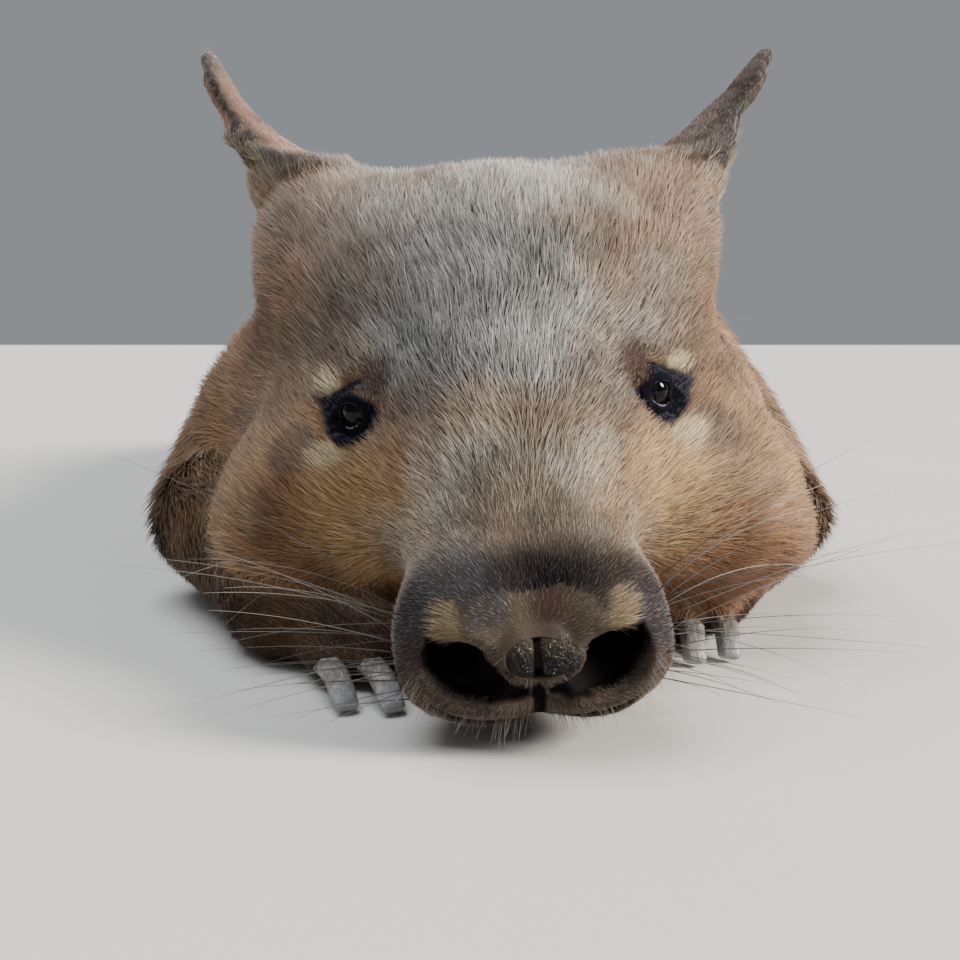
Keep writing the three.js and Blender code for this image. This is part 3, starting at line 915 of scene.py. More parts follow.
@dataclass
class Skin:
    """One skin over all the flesh, sunk by the coat's depth, with the face modelled in it."""

    eyes: Sequence[Eye]
    voxel: float = 0.002
    swell: float = 0.0005
    ear_swell: float = 0.0012
    kept_faces: int = 128000
    behind_head: float = -0.165
    lowest: float = 0.8 * MM
    rounds: int = 26
    finer: tuple[tuple[float, float], ...] = ((13.0, 15.0), (9.5, 9.0))
    arm_wider: float = 7.0 * MM
    mesh: bpy.types.Mesh = field(init=False)
    kinds: np.ndarray = field(init=False)
    nodes: list[str] = field(init=False)

    def build(self) -> None:
        """Makes the skin's shape."""
        self.nodes = [n for n in frame_nodes() if part_of(n)]
        self.mesh = with_modifier(self._gathered(), "REMESH", mode="VOXEL", voxel_size=self.voxel)
        self._thin()
        self._refine()
        self.kinds = self._kinds()
        self._settle()
        self._model_face()

    def _gathered(self) -> bpy.types.Mesh:
        """All the flesh in one mesh, each node grown a little so that the gaps close."""
        points, faces, base = [], [], 0
        for name in self.nodes:
            body = merged_copy(bpy.data.objects[name])
            body.normal_update()
            swell = self.ear_swell if part_of(name) == "ear" else self.swell
            points += [v.co + v.normal * swell for v in body.verts]
            faces += [[base + v.index for v in f.verts] for f in body.faces]
            base += len(body.verts)
            body.free()
        mesh = bpy.data.meshes.new("gathered")
        mesh.from_pydata(points, [], faces)
        return mesh

    def _thin(self) -> None:
        """Fewer faces behind the head, where the coat is long."""
        behind = np.flatnonzero(points_of(self.mesh)[:, 1] > self.behind_head)
        self.mesh.calc_loop_triangles()
        share = self.kept_faces / len(self.mesh.loop_triangles)
        if share < 1.0:
            settings = {"ratio": share, "vertex_group": "behind", "members": behind}
            self.mesh = with_modifier(self.mesh, "DECIMATE", **settings)

    def _refine(self) -> None:
        """More faces round the nose and the eyes."""
        body = bmesh.new()
        body.from_mesh(self.mesh)
        for reach, nose_depth in self.finer:
            places = POSE.to_head(np.array([v.co for v in body.verts]))
            near = (places[:, 1] < nose_depth) & (np.abs(places[:, 0]) < 42.0)
            for eye in self.eyes:
                away = places - POSE.to_head(eye.centre[None, :])
                near |= np.linalg.norm(away, axis=1) < reach
            edges = [e for e in body.edges if near[e.verts[0].index] and near[e.verts[1].index]]
            bmesh.ops.subdivide_edges(body, edges=edges, cuts=1, use_grid_fill=True)
            body.verts.index_update()
        bmesh.ops.triangulate(body, faces=[f for f in body.faces if len(f.verts) > 4])
        body.to_mesh(self.mesh)
        body.free()

    def _kinds(self) -> np.ndarray:
        """For each vertex, the index in `nodes` of the CAD node that it lies on."""
        points, faces, owner = [], [], []
        for index, name in enumerate(self.nodes):
            body = bpy.data.objects[name].data
            base = len(points)
            points += [v.co.copy() for v in body.vertices]
            faces += [[base + i for i in f.vertices] for f in body.polygons]
            owner += [index] * len(body.polygons)
        tree = BVHTree.FromPolygons(points, faces)
        found = [tree.find_nearest(v.co)[2] for v in self.mesh.vertices]
        return np.array(owner)[np.array(found)]

    def by_part(self, name: str) -> np.ndarray:
        """One number of the coat's lie for each vertex, evened where parts meet."""
        table = np.array([getattr(LIES[part_of(n)], name) for n in self.nodes])
        values = table[self.kinds][:, None]
        return relax(values, edges_of(self.mesh), np.full(len(values), 0.5), 22)[:, 0]

    def places(self) -> np.ndarray:
        """The skin's vertices on the straight head."""
        return POSE.to_head(points_of(self.mesh))

    def _settle(self) -> None:
        """Evens the facets out and sinks the skin under the coat."""
        part = np.array([PARTS.index(part_of(n)) for n in self.nodes])[self.kinds]
        pull = np.array([EVENING.get(name, EVENING_ELSEWHERE) for name in PARTS])[part]
        head = self.places()
        nose = (head[:, 1] < 16.0) & (part == PARTS.index("head"))
        pull[nose] = EVENING_AT_NOSE
        edges = edges_of(self.mesh)
        pull = relax(pull[:, None], edges, np.full(len(pull), 0.5), 4)[:, 0]
        points = relax(points_of(self.mesh), edges, pull, self.rounds)
        ear = (part == PARTS.index("ear")).astype(float)
        for _ in range(EARS.rounds):
            points = relax(relax(points, edges, EARS.pull * ear, 1), edges, -EARS.push * ear, 1)
        set_points(self.mesh, points)
        points = points + normals_of(self.mesh) * (ear * EARS.swollen(points))[:, None]
        set_points(self.mesh, self._draw_out(points))
        depth = self.by_part("depth") * MM
        depth *= 1.0 - 0.75 * step(26.0, 8.0, head[:, 1]) * (np.abs(head[:, 0]) < 60.0)
        points = points_of(self.mesh) - normals_of(self.mesh) * depth[:, None]
        points[:, 2] = np.maximum(points[:, 2], self.lowest)
        set_points(self.mesh, points)

    def _draw_out(self, points: np.ndarray) -> np.ndarray:
        """Draws the ears' edges out, slopes them to the crown and widens the left arm."""
        front = step(-0.12, -0.15, points[:, 1])
        arm = self.arm_wider * step(0.1, 0.125, points[:, 0]) * step(0.06, 0.03, points[:, 2])
        shaped = points.copy()
        shaped[:, 0] += (np.sign(points[:, 0]) * EARS.outward(points) + arm) * front
        shaped[:, 2] -= EARS.lowered(points) * front
        return shaped

    def _model_face(self) -> None:
        """Models nostrils, lips and lids in the skin."""
        points = points_of(self.mesh)
        places = POSE.to_head(points)
        places = self._model_nose(places)
        points = POSE.to_row(places)
        for eye in self.eyes:
            points = self._model_lids(points, eye)
        set_points(self.mesh, points)

    def _model_nose(self, places: np.ndarray) -> np.ndarray:
        """Hollows the nostrils under their flap, rolls the lip's rim and splits the lip."""
        x, y, z = places.T
        side = np.abs(x)
        front = step(17.0, 11.0, y) * step(44.0, 38.0, side)
        inner = NOSE.in_hollow(places)
        sunk = NOSE.depth * step(-0.4, 1.7, inner) * (0.55 + 0.45 * step(19.0, 30.0, z))
        sunk += NOSE.hole_depth * step(1.1, 0.3, NOSE.in_hole(places))
        sunk += NOSE.pad_depth * step(0.98, 0.7, NOSE.in_pad(places))
        rim = np.exp(-(((inner + 2.7) / 2.1) ** 2)) * step(34.0, 27.0, z)
        flap = np.exp(-(((inner + 2.4) / 3.2) ** 2)) * step(27.0, 31.0, z) * step(33.0, 29.0, side)
        split = np.exp(-((x / 1.25) ** 2)) * step(24.0, 20.5, z)
        crease = np.exp(-(((z - 7.6 - 0.01 * side**2) / 1.1) ** 2)) * step(34.0, 26.0, side)
        moved = sunk - NOSE.rim_roll * rim - NOSE.flap_roll * flap
        moved += NOSE.split_depth * split + NOSE.crease_depth * crease
        shaped = places.copy()
        shaped[:, 1] = y + front * moved
        return shaped

    def _model_lids(self, points: np.ndarray, eye: Eye) -> np.ndarray:
        """Lays the lids on an eyeball and opens an almond between them."""
        outer, upward, along = eye.seen(points)
        across = np.hypot(outer, upward)
        reach = LIDS.reach(outer, upward)
        close = (along > -2.0 * MM) & (across < 15.0 * MM)
        on_ball = eye.radius + LIDS.gap
        lid = on_ball + LIDS.roll * step(1.0, 1.5, reach) - LIDS.hollow * step(1.5, 2.1, reach)
        pocket = on_ball - LIDS.pocket * step(1.0, 0.72, reach)
        distance = np.where(reach < 1.0, pocket, lid)
        spot = across / np.maximum(distance, 1e-6)
        height = np.sqrt(np.maximum(distance**2 - across**2, (0.2 * MM) ** 2))
        blend = step(12.5 * MM, 7.5 * MM, across) * (spot < 1.0)
        fold = LIDS.fold * np.exp(-(((reach - 1.95) / 0.16) ** 2)) * (upward > -1.0 * MM)
        shift = np.where(close, blend * (height - along) - fold * close, 0.0)
        return points + shift[:, None] * eye.axis

    def lie(self) -> np.ndarray:
        """The direction that the hair grows in at each vertex, along the skin."""
        points = points_of(self.mesh)
        normals = normals_of(self.mesh)
        places = self.places()
        nose = np.array([0.0, 4.0, 33.0])
        radial = unit(places - nose)
        radial[:, 1] += 0.35 * step(30.0, 90.0, places[:, 1])
        flow = POSE.turned(radial)
        for index, name in enumerate(self.nodes):
            mine = self.kinds == index
            if part_of(name) in ("head", "nose", "eye"):
                continue
            flow[mine] = self._along(name, points[mine])
        flow = tangent(flow, normals)
        edges = edges_of(self.mesh)
        flow = relax(flow, edges, np.full(len(flow), 0.6), 14)
        return tangent(flow, normals)

    def _along(self, name: str, points: np.ndarray) -> np.ndarray:
        """The hair's direction on a node behind or beside the face."""
        side = SIDES.get(name.rsplit("_", 1)[-1], 0.0)
        directions = {
            "neck": (0.0, 1.0, -0.1),
            "torso": (0.0, 1.0, -0.12),
            "tail": (0.0, 0.7, -1.0),
            "ear": (0.28 * side, 0.16, 1.0),
            "upper_arm": (0.12 * side, -0.25, -1.0),
            "forearm": (-0.25 * side, -1.0, -0.2),
            "forepaw": (0.0, -1.0, -0.1) if side > 0 else (0.45, -0.9, -0.1),
            "thigh": (0.1 * side, 0.75, -0.66),
            "hind_foot": (0.05 * side, -1.0, -0.1),
        }
        flow = np.tile(np.array(directions[part_of(name)]), (len(points), 1))
        if part_of(name) in ("neck", "torso"):
            flow[:, 0] = 0.0
            flow[:, 2] -= 0.3 * step(0.02, 0.14, np.abs(points[:, 0]))
        return flow

    def length(self) -> np.ndarray:
        """Hair length at each vertex, in metres."""
        x, y, _ = self.places().T
        side = np.abs(x)
        points, normals = points_of(self.mesh), normals_of(self.mesh)
        height = points[:, 2]
        length = self.by_part("length")
        head = self._share("head")
        short = FACE_HAIR_SHORTEST
        for more, nearest, furthest in FACE_HAIR_GROWTH:
            short = short + more * step(nearest, furthest, y)
        short = short + 3.0 * step(70.0, 105.0, side) + 2.5 * step(120.0, 175.0, y)
        length = length + head * (short - length)
        ear = self._share("ear")
        length += ear * (6.5 - 3.7 * step(0.165, 0.212, height) - length)
        length += ear * 2.4 * self._faces(points, normals, 1.0, 0.0) * step(0.22, 0.2, height)
        length += 1.8 * self._on_brush() * head
        for eye in self.eyes:
            away = np.linalg.norm(points - eye.centre, axis=1)
            length *= 0.24 + 0.76 * step(9.0 * MM, 24.0 * MM, away)
        under = step(0.03, 0.006, height) * (1.0 - head)
        return length * (1.0 - 0.45 * under) * MM

    def _on_brush(self) -> np.ndarray:
        """Where the pale brushes stand at the ends of the flap over the nostrils."""
        places = self.places()
        outer = step(19.0, 22.0, np.abs(places[:, 0])) * (places[:, 1] < 20.0)
        return outer * step(-0.5, 1.0, NOSE.in_flap(places))

    def lift(self) -> np.ndarray:
        """How far the hair stands off the skin at each vertex, as an angle."""
        raised = self.by_part("lift") + 22.0 * self._on_brush()
        return np.radians(raised)

    def _share(self, part: str) -> np.ndarray:
        """How much each vertex belongs to a kind of part, evened at its edges."""
        table = np.array([float(part_of(n) == part) for n in self.nodes])
        values = table[self.kinds][:, None]
        return relax(values, edges_of(self.mesh), np.full(len(values), 0.5), 24)[:, 0]

    def bare(self) -> np.ndarray:
        """Where no hair grows: the nose pad, the nostrils, the lids' edges and what is hidden."""
        points = points_of(self.mesh)
        places = self.places()
        x, y, z = places.T
        side = np.abs(x)
        front = y < 22.0
        bare = front * step(0.2, 1.2, NOSE.in_hollow(places))
        bare = np.maximum(bare, front * step(1.0, 0.86, NOSE.in_pad(places)))
        bare = np.maximum(bare, front * step(2.0, 1.2, side) * step(23.0, 21.0, z))
        bare = np.maximum(bare, front * step(6.0, 4.5, z) * (side < 36.0) * 0.6)
        for eye in self.eyes:
            outer, upward, along = eye.seen(points)
            bare = np.maximum(bare, (along > 0.0) * step(1.6, 1.35, LIDS.reach(outer, upward)))
        return np.maximum(bare, step(1.6 * MM, 0.9 * MM, points[:, 2]))

    def tones(self) -> tuple[np.ndarray, np.ndarray]:
        """Coat colour at the root and at the tip for each vertex."""
        points = points_of(self.mesh)
        normals = normals_of(self.mesh)
        places = self.places()
        ragged = np.stack([grain(points, 0.009, seed) for seed in (3, 4, 5)], axis=1) - 0.5
        fine = np.stack([grain(points, 0.003, seed) for seed in (6, 7, 8)], axis=1) - 0.5
        near_nose = step(40.0, 14.0, places[:, 1])[:, None]
        moved = places + ragged * (9.0 - 7.5 * near_nose) + fine * (3.5 - 2.0 * near_nose)
        coat, tips = self._ground(points, normals)
        share_of_head = np.clip(self._share("head") + self._share("eye") + self._share("nose"), 0.0, 1.0)
        for mark in HEAD_MARKS:
            share = mark.share(moved) * share_of_head
            coat, tips = mix(coat, mark.coat, share), mix(tips, mark.tips, share)
        patchy = 0.46 + 0.66 * grain(points, 0.018, 21) + 0.42 * grain(points, 0.006, 22)
        warm = step(0.45, 0.8, grain(points, 0.022, 23)) * share_of_head
        patchy = patchy[:, None] * (1.0 - warm[:, None] * np.array([0.06, 0.2, 0.3]))
        coat, tips = self._paint_eyes(points, moved, coat * patchy, tips * patchy)
        return self._paint_nose(places, coat, tips)

    def _ground(self, points: np.ndarray, normals: np.ndarray) -> tuple[np.ndarray, np.ndarray]:
        """Broad colours of every part, before the marks of the head."""
        count = len(points)
        coat, tips = (np.tile(colour, (count, 1)) for colour in Ground.FLANK.value)
        height = points[:, 2]
        ear = self._share("ear")
        arm = np.clip(self._share("upper_arm") + self._share("forearm"), 0.0, 1.0)
        paw = np.clip(self._share("forepaw") + self._share("hind_foot"), 0.0, 1.0)
        streaks = grain(points * np.array([1.0, 1.0, 0.22]), 0.0019, 13)
        dusky = step(0.0, 0.01, points[:, 0])
        dark = 0.35 + 0.4 * dusky + 0.65 * step(0.3, 0.6, streaks)
        cup = self._faces(points, normals, 1.0, -0.25) * step(0.196, 0.182, height)
        edge = np.maximum(
            self._faces(points, normals, -0.7, 0.7) * (1.0 - 0.75 * dusky),
            self._faces(points, normals, 1.0, 0.1) * step(0.19, 0.2, height) * (1.0 - dusky),
        )
        shares = (
            (Ground.BACK, step(0.13, 0.21, height + 0.02 * (grain(points, 0.03, 9) - 0.5))),
            (Ground.BELLY, 0.8 * step(0.06, 0.015, height) * (1.0 - self._share("head"))),
            (Ground.ARM, arm),
            # The paws' dark coat, and painted shade on the arms, darkening them from 75 mm down to 25 mm
            # above the floor
            (Ground.PAW, np.clip(paw + 0.85 * arm * step(0.075, 0.025, height), 0.0, 1.0)),
            (Ground.EAR, ear),
            (Ground.EAR_DARK, ear * step(0.162, 0.19, height) * dark),
            (Ground.EAR_EDGE, ear * edge * step(0.165, 0.185, height)),
            (Ground.EAR_TIP, 0.8 * ear * step(0.219, 0.229, height) * (1.0 - 0.8 * dusky)),
            (Ground.EAR_CUP, ear * cup),
        )
        for ground, share in shares:
            share = np.clip(share, 0.0, 1.0)
            coat, tips = mix(coat, ground.value[0], share), mix(tips, ground.value[1], share)
        return coat, tips

    def _faces(
        self, points: np.ndarray, normals: np.ndarray, outward: float, upward: float
    ) -> np.ndarray:
        """How far each vertex faces a direction away from the middle and upward."""
        length = math.hypot(outward, upward)
        turned = np.sign(points[:, 0]) * normals[:, 0] * outward + normals[:, 2] * upward
        return step(0.3, 0.75, turned / length)

    def _paint_eyes(
        self, points: np.ndarray, moved: np.ndarray, coat: np.ndarray, tips: np.ndarray
    ) -> tuple[np.ndarray, np.ndarray]:
        """Adds the near-black ring round each eye and the patches above and below it."""
        shifted = POSE.to_row(moved)
        for eye in self.eyes:
            outer, upward, along = (v / MM for v in eye.seen(0.6 * points + 0.4 * shifted))
            wide = np.where(outer > 0.0, 19.5, 12.5)
            high = np.where(upward > 0.14 * outer, 9.4, 13.0 + 0.16 * np.clip(-outer, 0.0, 8.0))
            ring = (np.abs(outer) / wide) ** 1.35 + (np.abs(upward - 0.14 * outer) / high) ** 1.35
            brow = 0.85 * self._spot(outer, upward, -5.0, 12.0, 8.0, 5.5)
            corner = 0.8 * self._spot(outer, upward, 17.0, -17.0, 9.0, 9.0)
            above = self._spot(outer, upward, 17.0, 8.0, 5.0, 4.2)
            below = self._spot(outer, upward, 4.5, -16.0, 7.0, 5.6)
            patches = (
                ((0.055, 0.034, 0.027), (0.15, 0.1, 0.078), brow),
                ((0.1, 0.058, 0.04), (0.24, 0.155, 0.105), corner),
                ((0.4, 0.31, 0.18), (0.85, 0.7, 0.46), above),
                ((0.4, 0.31, 0.18), (0.85, 0.7, 0.46), below),
                ((0.003, 0.003, 0.008), (0.024, 0.021, 0.05), step(1.08, 0.94, ring)),
            )
            for colour, end, share in patches:
                share = share * (along > -9.0)
                coat, tips = mix(coat, colour, share), mix(tips, end, share)
        return coat, tips

    def _spot(
        self, outer: np.ndarray, upward: np.ndarray, x: float, z: float, wide: float, high: float
    ) -> np.ndarray:
        """How much of a round patch beside an eye shows, all in millimetres."""
        return step(1.2, 0.8, np.hypot((outer - x) / wide, (upward - z) / high))

    def _paint_nose(
        self, places: np.ndarray, coat: np.ndarray, tips: np.ndarray
    ) -> tuple[np.ndarray, np.ndarray]:
        """Adds the tan flap, the lip's rim, the nostrils' hollows (dark skin darkened further with painted
        shade), painted shade in the nostrils' holes, and the lip's split and the line of the lips in
        near-black painted shade.
        """
        x, y, z = places.T
        side = np.abs(x)
        points = POSE.to_row(places)
        ragged = 2.6 * (grain(points, 0.0024, 61) - 0.5) + 1.4 * (grain(points, 0.0011, 62) - 0.5)
        front = step(30.0, 22.0, y)
        inner = NOSE.in_hollow(places)
        on_flap = step(-0.9, 0.7, NOSE.in_flap(places) + ragged)
        brush = step(18.5, 23.0, side + ragged)
        silver = step(1.5, 0.3, np.hypot((x + 23.0 + ragged) / 14.0, (z - 52.0 - ragged) / 8.0))
        silver = silver * (0.4 + 0.6 * grain(points * np.array([1.0, 1.0, 0.4]), 0.0022, 63))
        streaked = step(9.0, 4.0, np.abs(x + 13.5 + ragged)) * step(37.5, 41.0, z + 0.5 * ragged)
        split = step(2.4, 1.2, side + 0.4 * ragged) * step(24.0, 21.5, z)
        mouth = np.exp(-(((z - 7.6 - 0.01 * side**2) / 1.3) ** 2)) * step(34.0, 26.0, side)
        rim = step(-7.5, -4.0, inner + ragged) * step(31.0, 25.0, z)
        under = step(1.0, 0.85, NOSE.in_pad(places))
        pinkish = step(7.0, 2.0, np.abs(x - 6.0)) * step(36.0, 42.0, z)
        hollow = step(-0.5, 0.9, inner + 0.35 * ragged)
        hole = step(1.25, 0.75, NOSE.in_hole(places))
        for colour, end, share in (
            ((0.08, 0.08, 0.092), (0.3, 0.31, 0.35), 0.55 * front * silver),
            ((0.06, 0.044, 0.034), (0.17, 0.132, 0.104), front * rim),
            ((0.075, 0.058, 0.042), (0.2, 0.165, 0.125), front * on_flap),
            ((0.085, 0.052, 0.04), (0.22, 0.15, 0.115), front * on_flap * pinkish),
            ((0.045, 0.04, 0.045), (0.36, 0.355, 0.37), 0.75 * front * on_flap * streaked),
            ((0.18, 0.132, 0.076), (0.38, 0.298, 0.195), front * on_flap * brush),
            # The nostrils' hollows: dark bare skin, darkened further with painted shade
            ((0.004, 0.003, 0.003), (0.01, 0.008, 0.007), front * hollow),
            ((0.012, 0.009, 0.008), (0.012, 0.009, 0.008), front * under),
            # Painted shade: the nostrils' holes are painted black
            ((0.001, 0.001, 0.001), (0.001, 0.001, 0.001), front * hole),
            # Painted shade: the lip's split and the line of the mouth are painted near-black
            ((0.003, 0.002, 0.002), (0.003, 0.002, 0.002), front * np.clip(split + mouth, 0.0, 1.0)),
        ):
            coat, tips = mix(coat, colour, share), mix(tips, end, share)
        return coat, tips

    def dress(self) -> bpy.types.Object:
        """Paints, unwraps and places the skin."""
        coat = self.tones()[0]
        bare = self.bare()
        # Painted shade: where hair grows, the skin is darkened to 0.85 of the coat's root colour; bare skin
        # keeps its full tone
        set_tone(self.mesh, coat * (0.85 + 0.15 * bare)[:, None])
        set_value(self.mesh, bare * step(16.0, 12.0, self.places()[:, 1]), "damp")
        self.mesh.polygons.foreach_set("use_smooth", np.ones(len(self.mesh.polygons), bool))
        piece = finish_piece(self.mesh, "skin", SkinFinish().make(), self._flesh())
        self._unwrap(piece)
        return piece

    def _flesh(self) -> list[str]:
        """The nodes that the skin stands for."""
        return [n for n in self.nodes if part_of(n) not in ("nose", "eye")]

    def _unwrap(self, piece: bpy.types.Object) -> None:
        """Unwraps the skin by its own shape."""
        self.mesh.uv_layers.new(name="OFBake")
        bpy.context.view_layer.objects.active = piece
        piece.select_set(True)
        bpy.ops.object.mode_set(mode="EDIT")
        bpy.ops.mesh.select_all(action="SELECT")
        bpy.ops.uv.smart_project(angle_limit=math.radians(66.0), island_margin=0.002)
        bpy.ops.object.mode_set(mode="OBJECT")
        piece.select_set(False)


def frame_nodes() -> list[str]:
    """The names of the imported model's nodes."""
    return sorted(o.name for o in bpy.data.objects if "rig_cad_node" in o)


# The coat


@dataclass
class Coat:
    """Hair in thin closed tufts that lie along the skin."""

    skin: Skin
    tufts: int = 368000
    most_in_piece: int = 49000
    seed: int = 11
    patch: float = 0.003
    wide_share: float = 0.06
    narrowest: float = 0.22 * MM
    widest: float = 1.25 * MM
    ridge_at: float = 0.12
    # How dark the tufts' roots are painted, as painted shade among the hair
    root_painted_shade: float = 0.84
    dark_flecks: float = 0.09
    fleck_shade: float = 0.45

    def build(self) -> None:
        """Grows the whole coat and splits it in pieces."""
        mesh = self.skin.mesh
        mesh.calc_loop_triangles()
        corners = read(mesh.loop_triangles, "vertices", 3, np.int32)
        loops = read(mesh.loop_triangles, "loops", 3, np.int32)
        points, normals = points_of(mesh), normals_of(mesh)
        coat, tips = self.skin.tones()
        length, lift = self.skin.length(), self.skin.lift()
        grown = self.skin.by_part("dense") * (1.0 - self.skin.bare())
        face, weights = self._roots(points, corners, grown)
        uv = read(mesh.uv_layers["OFBake"].data, "uv", 2, np.float32)[loops]
        at = corners[face]

        def spread(values: np.ndarray) -> np.ndarray:
            """A vertex value at every root."""
            return np.einsum("ij,ij...->i...", weights, values[at])

        normal = unit(spread(normals))
        root = spread(points)
        chance = np.random.default_rng(self.seed + 1)
        tone = spread(coat), spread(tips)
        where = np.einsum("ij,ijk->ik", weights, uv[face])
        flow = tangent(spread(self.skin.lie()), normal)
        hair = spread(length) * chance.uniform(0.72, 1.25, len(root))
        shape, facing = self._tufts(root, normal, flow, hair, spread(lift), chance)
        colours = self._colours(root, tone, chance)
        self._make_pieces(shape, facing, colours, where, self._groups(at))

    def _roots(
        self, points: np.ndarray, corners: np.ndarray, grown: np.ndarray
    ) -> tuple[np.ndarray, np.ndarray]:
        """Scatters roots evenly over the skin, as dense as the coat is there.

        Args:
            points: The skin's vertices.
            corners: Its triangles.
            grown: How dense the coat is at each vertex.

        Returns:
            The triangle of each root, and its weights on the triangle's corners.
        """
        a, b, c = (points[corners[:, i]] for i in range(3))
        area = np.linalg.norm(np.cross(b - a, c - a), axis=1) * grown[corners].mean(axis=1)
        total = np.cumsum(area)
        chance = np.random.default_rng(self.seed)
        spots = (np.arange(self.tufts) + chance.random(self.tufts)) / self.tufts * total[-1]
        face = np.minimum(np.searchsorted(total, spots), len(total) - 1)
        u, v = np.sqrt(chance.random(self.tufts)), chance.random(self.tufts)
        return face, np.stack([1.0 - u, u * (1.0 - v), u * v], axis=1)

    def _tufts(
        self,
        root: np.ndarray,
        normal: np.ndarray,
        flow: np.ndarray,
        length: np.ndarray,
        lift: np.ndarray,
        chance: np.random.Generator,
    ) -> tuple[np.ndarray, np.ndarray]:
        """Four points for every tuft: its two root corners, the ridge at the root and the tip.

        Args:
            root: Where each tuft grows.
            normal: The skin's normal there.
            flow: The way it lies.
            length: Its length in metres.
            lift: How far its tip stands off the skin, as an angle.
            chance: Random draws.

        Returns:
            The points, an array of tufts by four points by three, and the way each point faces.
        """
        turn = 0.55 * (grain(root, 0.009, 31) - 0.5) + 0.55 * (grain(root, 0.03, 32) - 0.5)
        turn = turn + chance.normal(0.0, 0.13, len(root))
        side = np.cross(normal, flow)
        flow, side = (
            flow * np.cos(turn)[:, None] + side * np.sin(turn)[:, None],
            side * np.cos(turn)[:, None] - flow * np.sin(turn)[:, None],
        )
        rise = lift * chance.uniform(0.5, 1.35, len(root))
        width = np.clip(self.wide_share * length, self.narrowest, self.widest)
        width = width * chance.uniform(0.7, 1.3, len(root))
        sunk = root - normal * np.minimum(0.3 * MM, 0.08 * length)[:, None]
        ahead = flow * np.cos(rise)[:, None] + normal * np.sin(rise)[:, None]
        half = side * (0.5 * width)[:, None]
        ridge = sunk + normal * (0.5 * width)[:, None] + ahead * (self.ridge_at * length)[:, None]
        tip = sunk + ahead * length[:, None]
        shape = np.stack([sunk - half, sunk + half, ridge, tip], axis=1)
        shape[:, :, 2] = np.maximum(shape[:, :, 2], 0.3 * MM)
        lean = side * chance.normal(0.0, 0.22, len(root))[:, None]
        lean = lean + flow * chance.normal(0.0, 0.15, len(root))[:, None]
        facing = (normal - 0.7 * side, normal + 0.7 * side, normal, normal + 0.25 * flow)
        return shape, unit(np.stack(facing, axis=1) + lean[:, None, :])

    def _colours(
        self, root: np.ndarray, tone: tuple[np.ndarray, np.ndarray], chance: np.random.Generator
    ) -> np.ndarray:
        """The colour of every tuft's four points: darker at the root with painted shade, grizzled at the
        tip.
        """
        coat, tips = tone
        clumps = 0.7 * (grain(root, 0.02, 41) - 0.5) + 0.5 * (grain(root, 0.005, 42) - 0.5)
        pale = np.clip(chance.normal(0.55, 0.3, len(root)) + clumps, 0.0, 1.2)
        shade = np.exp(chance.normal(0.0, 0.15, len(root)))[:, None]
        fleck = np.where(chance.random(len(root)) < self.dark_flecks, self.fleck_shade, 1.0)[:, None]
        ridge = mix(coat, tips, 0.4 * pale) * shade
        end = (coat + (tips - coat) * pale[:, None]) * shade * fleck
        # Painted shade: the two root corners are darker than the ridge, as where hairs shade each other
        # near the skin
        low = ridge * self.root_painted_shade
        return np.stack([low, low, ridge, end], axis=1)

    def _groups(self, at: np.ndarray) -> dict[str, np.ndarray]:
        """Which tufts make each piece."""
        kind = self.skin.kinds[at[:, 0]]
        part = np.array([part_of(n) for n in self.skin.nodes])[kind]
        x = points_of(self.skin.mesh)[at[:, 0], 0]
        head = np.isin(part, ("head", "nose", "eye"))
        trunk = np.isin(part, ("neck", "torso", "tail"))
        return {
            "face_left": head & (x >= 0.006),
            "face_right": head & (x < 0.006),
            "ears": part == "ear",
            "trunk": trunk,
            "limbs": ~(head | trunk | (part == "ear")),
        }

    def _make_pieces(
        self,
        shape: np.ndarray,
        facing: np.ndarray,
        colours: np.ndarray,
        where: np.ndarray,
        groups: dict[str, np.ndarray],
    ) -> None:
        """Makes the meshes, none of them too large."""
        corner = np.array([(0, 3, 2), (1, 2, 3), (0, 1, 3), (0, 2, 1)])
        spots = np.array([(-0.5, -0.5), (0.5, -0.5), (0.0, 0.0), (0.0, 0.5)]) * self.patch
        for group, chosen in groups.items():
            order = np.flatnonzero(chosen)
            order = order[np.argsort(shape[order, 0, 1] + 3.0 * (shape[order, 0, 0] > 0), kind="stable")]
            material = CoatFinish(f"coat_{group}").make()
            parts = max(1, math.ceil(len(order) / self.most_in_piece))
            for number, some in enumerate(np.array_split(order, parts), 1):
                triangles = (np.arange(len(some))[:, None, None] * 4 + corner).reshape(-1, 3)
                mesh = mesh_from(f"coat_{group}_{number}", shape[some].reshape(-1, 3), triangles)
                mesh.normals_split_custom_set_from_vertices(facing[some].reshape(-1, 3))
                set_tone(mesh, colours[some].reshape(-1, 3))
                uv = (where[some][:, None, :] + spots).reshape(-1, 2)[triangles.ravel()]
                layer = mesh.uv_layers.new(name="OFBake")
                layer.data.foreach_set("uv", uv.astype(np.float32).ravel())
                finish_piece(mesh, f"coat_{group}_{number}", material)


# Eyes, nose, whiskers and claws


